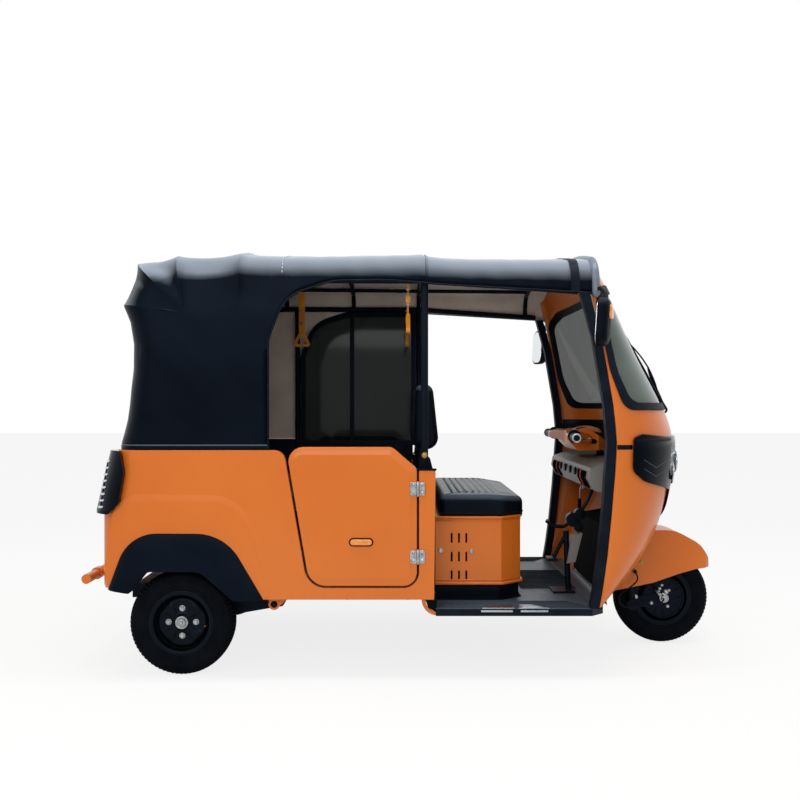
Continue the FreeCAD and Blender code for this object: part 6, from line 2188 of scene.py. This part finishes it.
    def wiper(self) -> None:
        """Makes the wiper's rubber blade, its bow and its arm."""
        blade, arm = Solid(), Solid()
        top, foot = at(934, -64, 1342), at(1099, -64, 1047)
        blade.tube([top.lerp(foot, k / 12) for k in range(13)], 5.5 * MM, 8, False, 0.6)
        bow = [top.lerp(foot, share) + at(ahead, 0, up) for share, ahead, up in self.bow]
        arm.tube(curved(bow, 16), 3.5 * MM, 8)
        arm.tube(curved([bow[2], at(1046, -58, 1165), at(1098, -40, 1062), at(1108, -20, 1030)], 12),
                 5 * MM, 8)
        fit(blade.object("wiper_blade"), "body", Look.RUBBER)
        fit(arm.object("wiper_arm"), "body", Look.BLACK_STEEL)

    def pedal(self) -> None:
        """Makes the pedal's linkage, its pale cover and the rubber pad."""
        dark, pale, y = Solid(), Solid(), self.pedal_y
        dark.tube(curved([at(664, y, 560), at(630, y, 538), at(590, y, 540), at(566, y, 556)], 14),
                  8 * MM, 10)
        dark.tube([at(566, y - 30, 558), at(562, y, 559), at(566, y + 30, 558)], 9 * MM, 10, False, 0.6)
        for spot, radius in (((668, y, 566), 30), ((696, y - 6, 590), 24), ((690, y, 536), 20)):
            dark.turned([(0.01, -22), (radius, -20), (radius, 18), (radius * 0.7, 22), (0.01, 22)], at(*spot),
                        Vector((0, 1, 0)), 18)
        dark.tube(curved([at(700, y, 600), at(728, y, 640), at(752, y + 10, 690)], 10), 7 * MM, 8)
        fit(dark.object("pedal_linkage"), "body", Look.BLACK_STEEL)
        pale.slab([at(660, y - 22, 500), at(706, y - 22, 512), at(676, y - 22, 392), at(640, y - 22, 386)],
                  Vector((0, 44 * MM, 0)), 6 * MM)
        fit(pale.object("pedal_cover"), "body", Look.DASH)

    def straps(self) -> None:
        """Makes the buckles and rivets of the hand straps."""
        dark, metal = Solid(), Solid()
        for x, y in self.strap_places:
            for z in self.strap_rivets:
                metal.turned([(0.01, -8), (5, -8), (6, -6), (6, 6), (5, 8), (0.01, 8)], at(x, y, z),
                             Vector((1, 0, 0)), 14)
            dark.slab([at(x - 9, y - 15, 1446), at(x - 9, y + 15, 1446), at(x - 9, y + 15, 1470),
                       at(x - 9, y - 15, 1470)], Vector((18 * MM, 0, 0)), 2 * MM)
        fit(metal.object("strap_rivets"), "body", Look.ZINC)
        fit(dark.object("strap_buckles"), "body", Look.STRAP)

    def build(self) -> None:
        """Makes every fitting of the cab."""
        self.mirrors()
        self.headset()
        self.dash()
        self.linings()
        self.floor()
        self.toe_board()
        self.wiper()
        self.pedal()
        self.straps()


@dataclass
class Underside:
    """Springs and bolts of the chassis, and the engine cover's louvres."""

    spring_x: float = -850.5
    spring_y: float = 400.0
    spring_foot: float = 322.0
    spring_tall: float = 180.0
    spring_radius: float = 36.0
    spring_wire: float = 5.0
    spring_turns: int = 6
    sill_bolts: tuple[float, ...] = (-480.0, -250.0, -20.0, 60.0)
    arm_bolts: tuple[float, float] = (200.0, 260.0)
    louvres: int = 7
    louvre_foot: float = 456.0
    louvre_pitch: float = 26.0

    def spring(self, side: int) -> list[Vector]:
        """Winds one coil spring's wire.

        Args:
            side: -1 for the right and 1 for the left.

        Returns:
            The points of its middle line.
        """
        steps = 28 * self.spring_turns
        line = []
        for k in range(steps + 1):
            a = 2 * math.pi * self.spring_turns * k / steps
            line.append(at(self.spring_x + self.spring_radius * math.cos(a),
                           side * self.spring_y + self.spring_radius * math.sin(a),
                           self.spring_foot + self.spring_tall * k / steps))
        return line

    def build(self) -> None:
        """Makes the coil springs, the fasteners and the cover's louvres."""
        springs, bolts, louvres = Solid(), Solid(), Solid()
        for side in (-1, 1):
            springs.tube(self.spring(side), self.spring_wire * MM, 8)
            for x in self.sill_bolts:
                bolts.bolt(at(x, side * 596, 304.5), Vector((0, 0, -1)), 7)
            for y in self.arm_bolts:
                bolts.bolt(at(-1208, side * y, 404), Vector((-1, 0, 0)), 7)
        cover = Carrier("engine_cover")
        for k in range(self.louvres):
            z = self.louvre_foot + self.louvre_pitch * k
            line = []
            for j in range(13):
                spot, face = cover.hit(at(-1600, -210 + 35 * j, z), Vector((1, 0, 0)))
                line.append(spot + face * 1.5 * MM)
            louvres.tube(line, 6 * MM, 10, False, 0.7)
        fit(springs.object("coil_springs"), "body", Look.BLACK_STEEL)
        fit(bolts.object("sill_bolts"), "body", Look.ZINC)
        fit(louvres.object("cover_louvres"), "rear_lid", Look.ENAMEL)


@dataclass
class FrameFinishes:
    """Finishes of the frame's own nodes that stay in sight."""

    looks: dict[Look, tuple[str, ...]] = field(default_factory=lambda: {
        Look.ENAMEL: ("rear_quarters", "rear_panel", "engine_cover", "door_right", "door_left",
                      "front_shell", "seat_box", "front_fender", "rear_bumper", "headset_cover",
                      "passenger_seat_base"),
        Look.FLARE: ("wheel_flares",),
        Look.BLACK_STEEL: ("chassis_rails", "crossmembers", "rear_suspension", "roof_frame",
                           "cabin_pillars", "partition_rails", "side_window_frame", "steering_column",
                           "front_link", "handlebar", "brake_pedal", "wiper"),
        Look.RIM: ("front_rim", "rear_right_rim", "rear_left_rim"),
        Look.TRAY: ("floor_tray", "passenger_floor"),
        Look.HOOD: ("canopy_roof", "canopy_sides", "canopy_back"),
        Look.LEATHERCLOTH: ("driver_seat", "passenger_seat"),
        Look.TYRE: ("front_tyre", "rear_right_tyre", "rear_left_tyre"),
        Look.RUBBER: ("windscreen_seal", "opening_trims", "brake_hose"),
        Look.GLOSS_BLACK: ("headlamp_surround",),
        Look.SATIN_BLACK: ("mirror_housings", "seat_plinth"),
        # The wheel housing gets matt near black: painted shade inside it
        Look.SHADOW: ("wheel_housing",),
        Look.SMOKED: ("tail_lamps",),
        Look.LENS: ("headlamp_lenses",),
        Look.GLASS: ("windscreen_glass",),
        Look.TINTED: ("window_panes",),
        Look.MIRROR: ("mirror_glasses",),
        Look.DASH: ("dashboard",),
        Look.STRAP: ("hand_straps",),
        Look.ZINC: ("door_hinges",),
        Look.STEEL: ("drive_shafts",),
        Look.CAST: ("engine",),
    })

    def build(self) -> None:
        """Gives each node its finish."""
        for look, names in self.looks.items():
            for name in names:
                node = frame["nodes"][name]
                node.data.materials.clear()
                node.data.materials.append(Paintbox.get(look))


def main() -> None:
    """Builds every sub-assembly in order and reports each piece."""
    logging.basicConfig(level=logging.INFO)
    builders = [Studio(), BrakeHose(), FrameFinishes(), Hood(),
                Wheel("front", "front_wheel", FRONT_AXLE, 0, 1),
                Wheel("rear_right", "rear_wheel_right", REAR_AXLE, -510, -1),
                Wheel("rear_left", "rear_wheel_left", REAR_AXLE, 510, 1),
                FrontHub(), Seats(), SeatBox(), SidePanels(), Lamps(), Cab(), Underside()]
    for builder in builders:
        before = set(bpy.data.objects.keys())
        builder.build()
        for name in sorted(set(bpy.data.objects.keys()) - before):
            log.info("%s: %s", type(builder).__name__, name)
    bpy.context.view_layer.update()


if __name__ == "__main__":
    main()
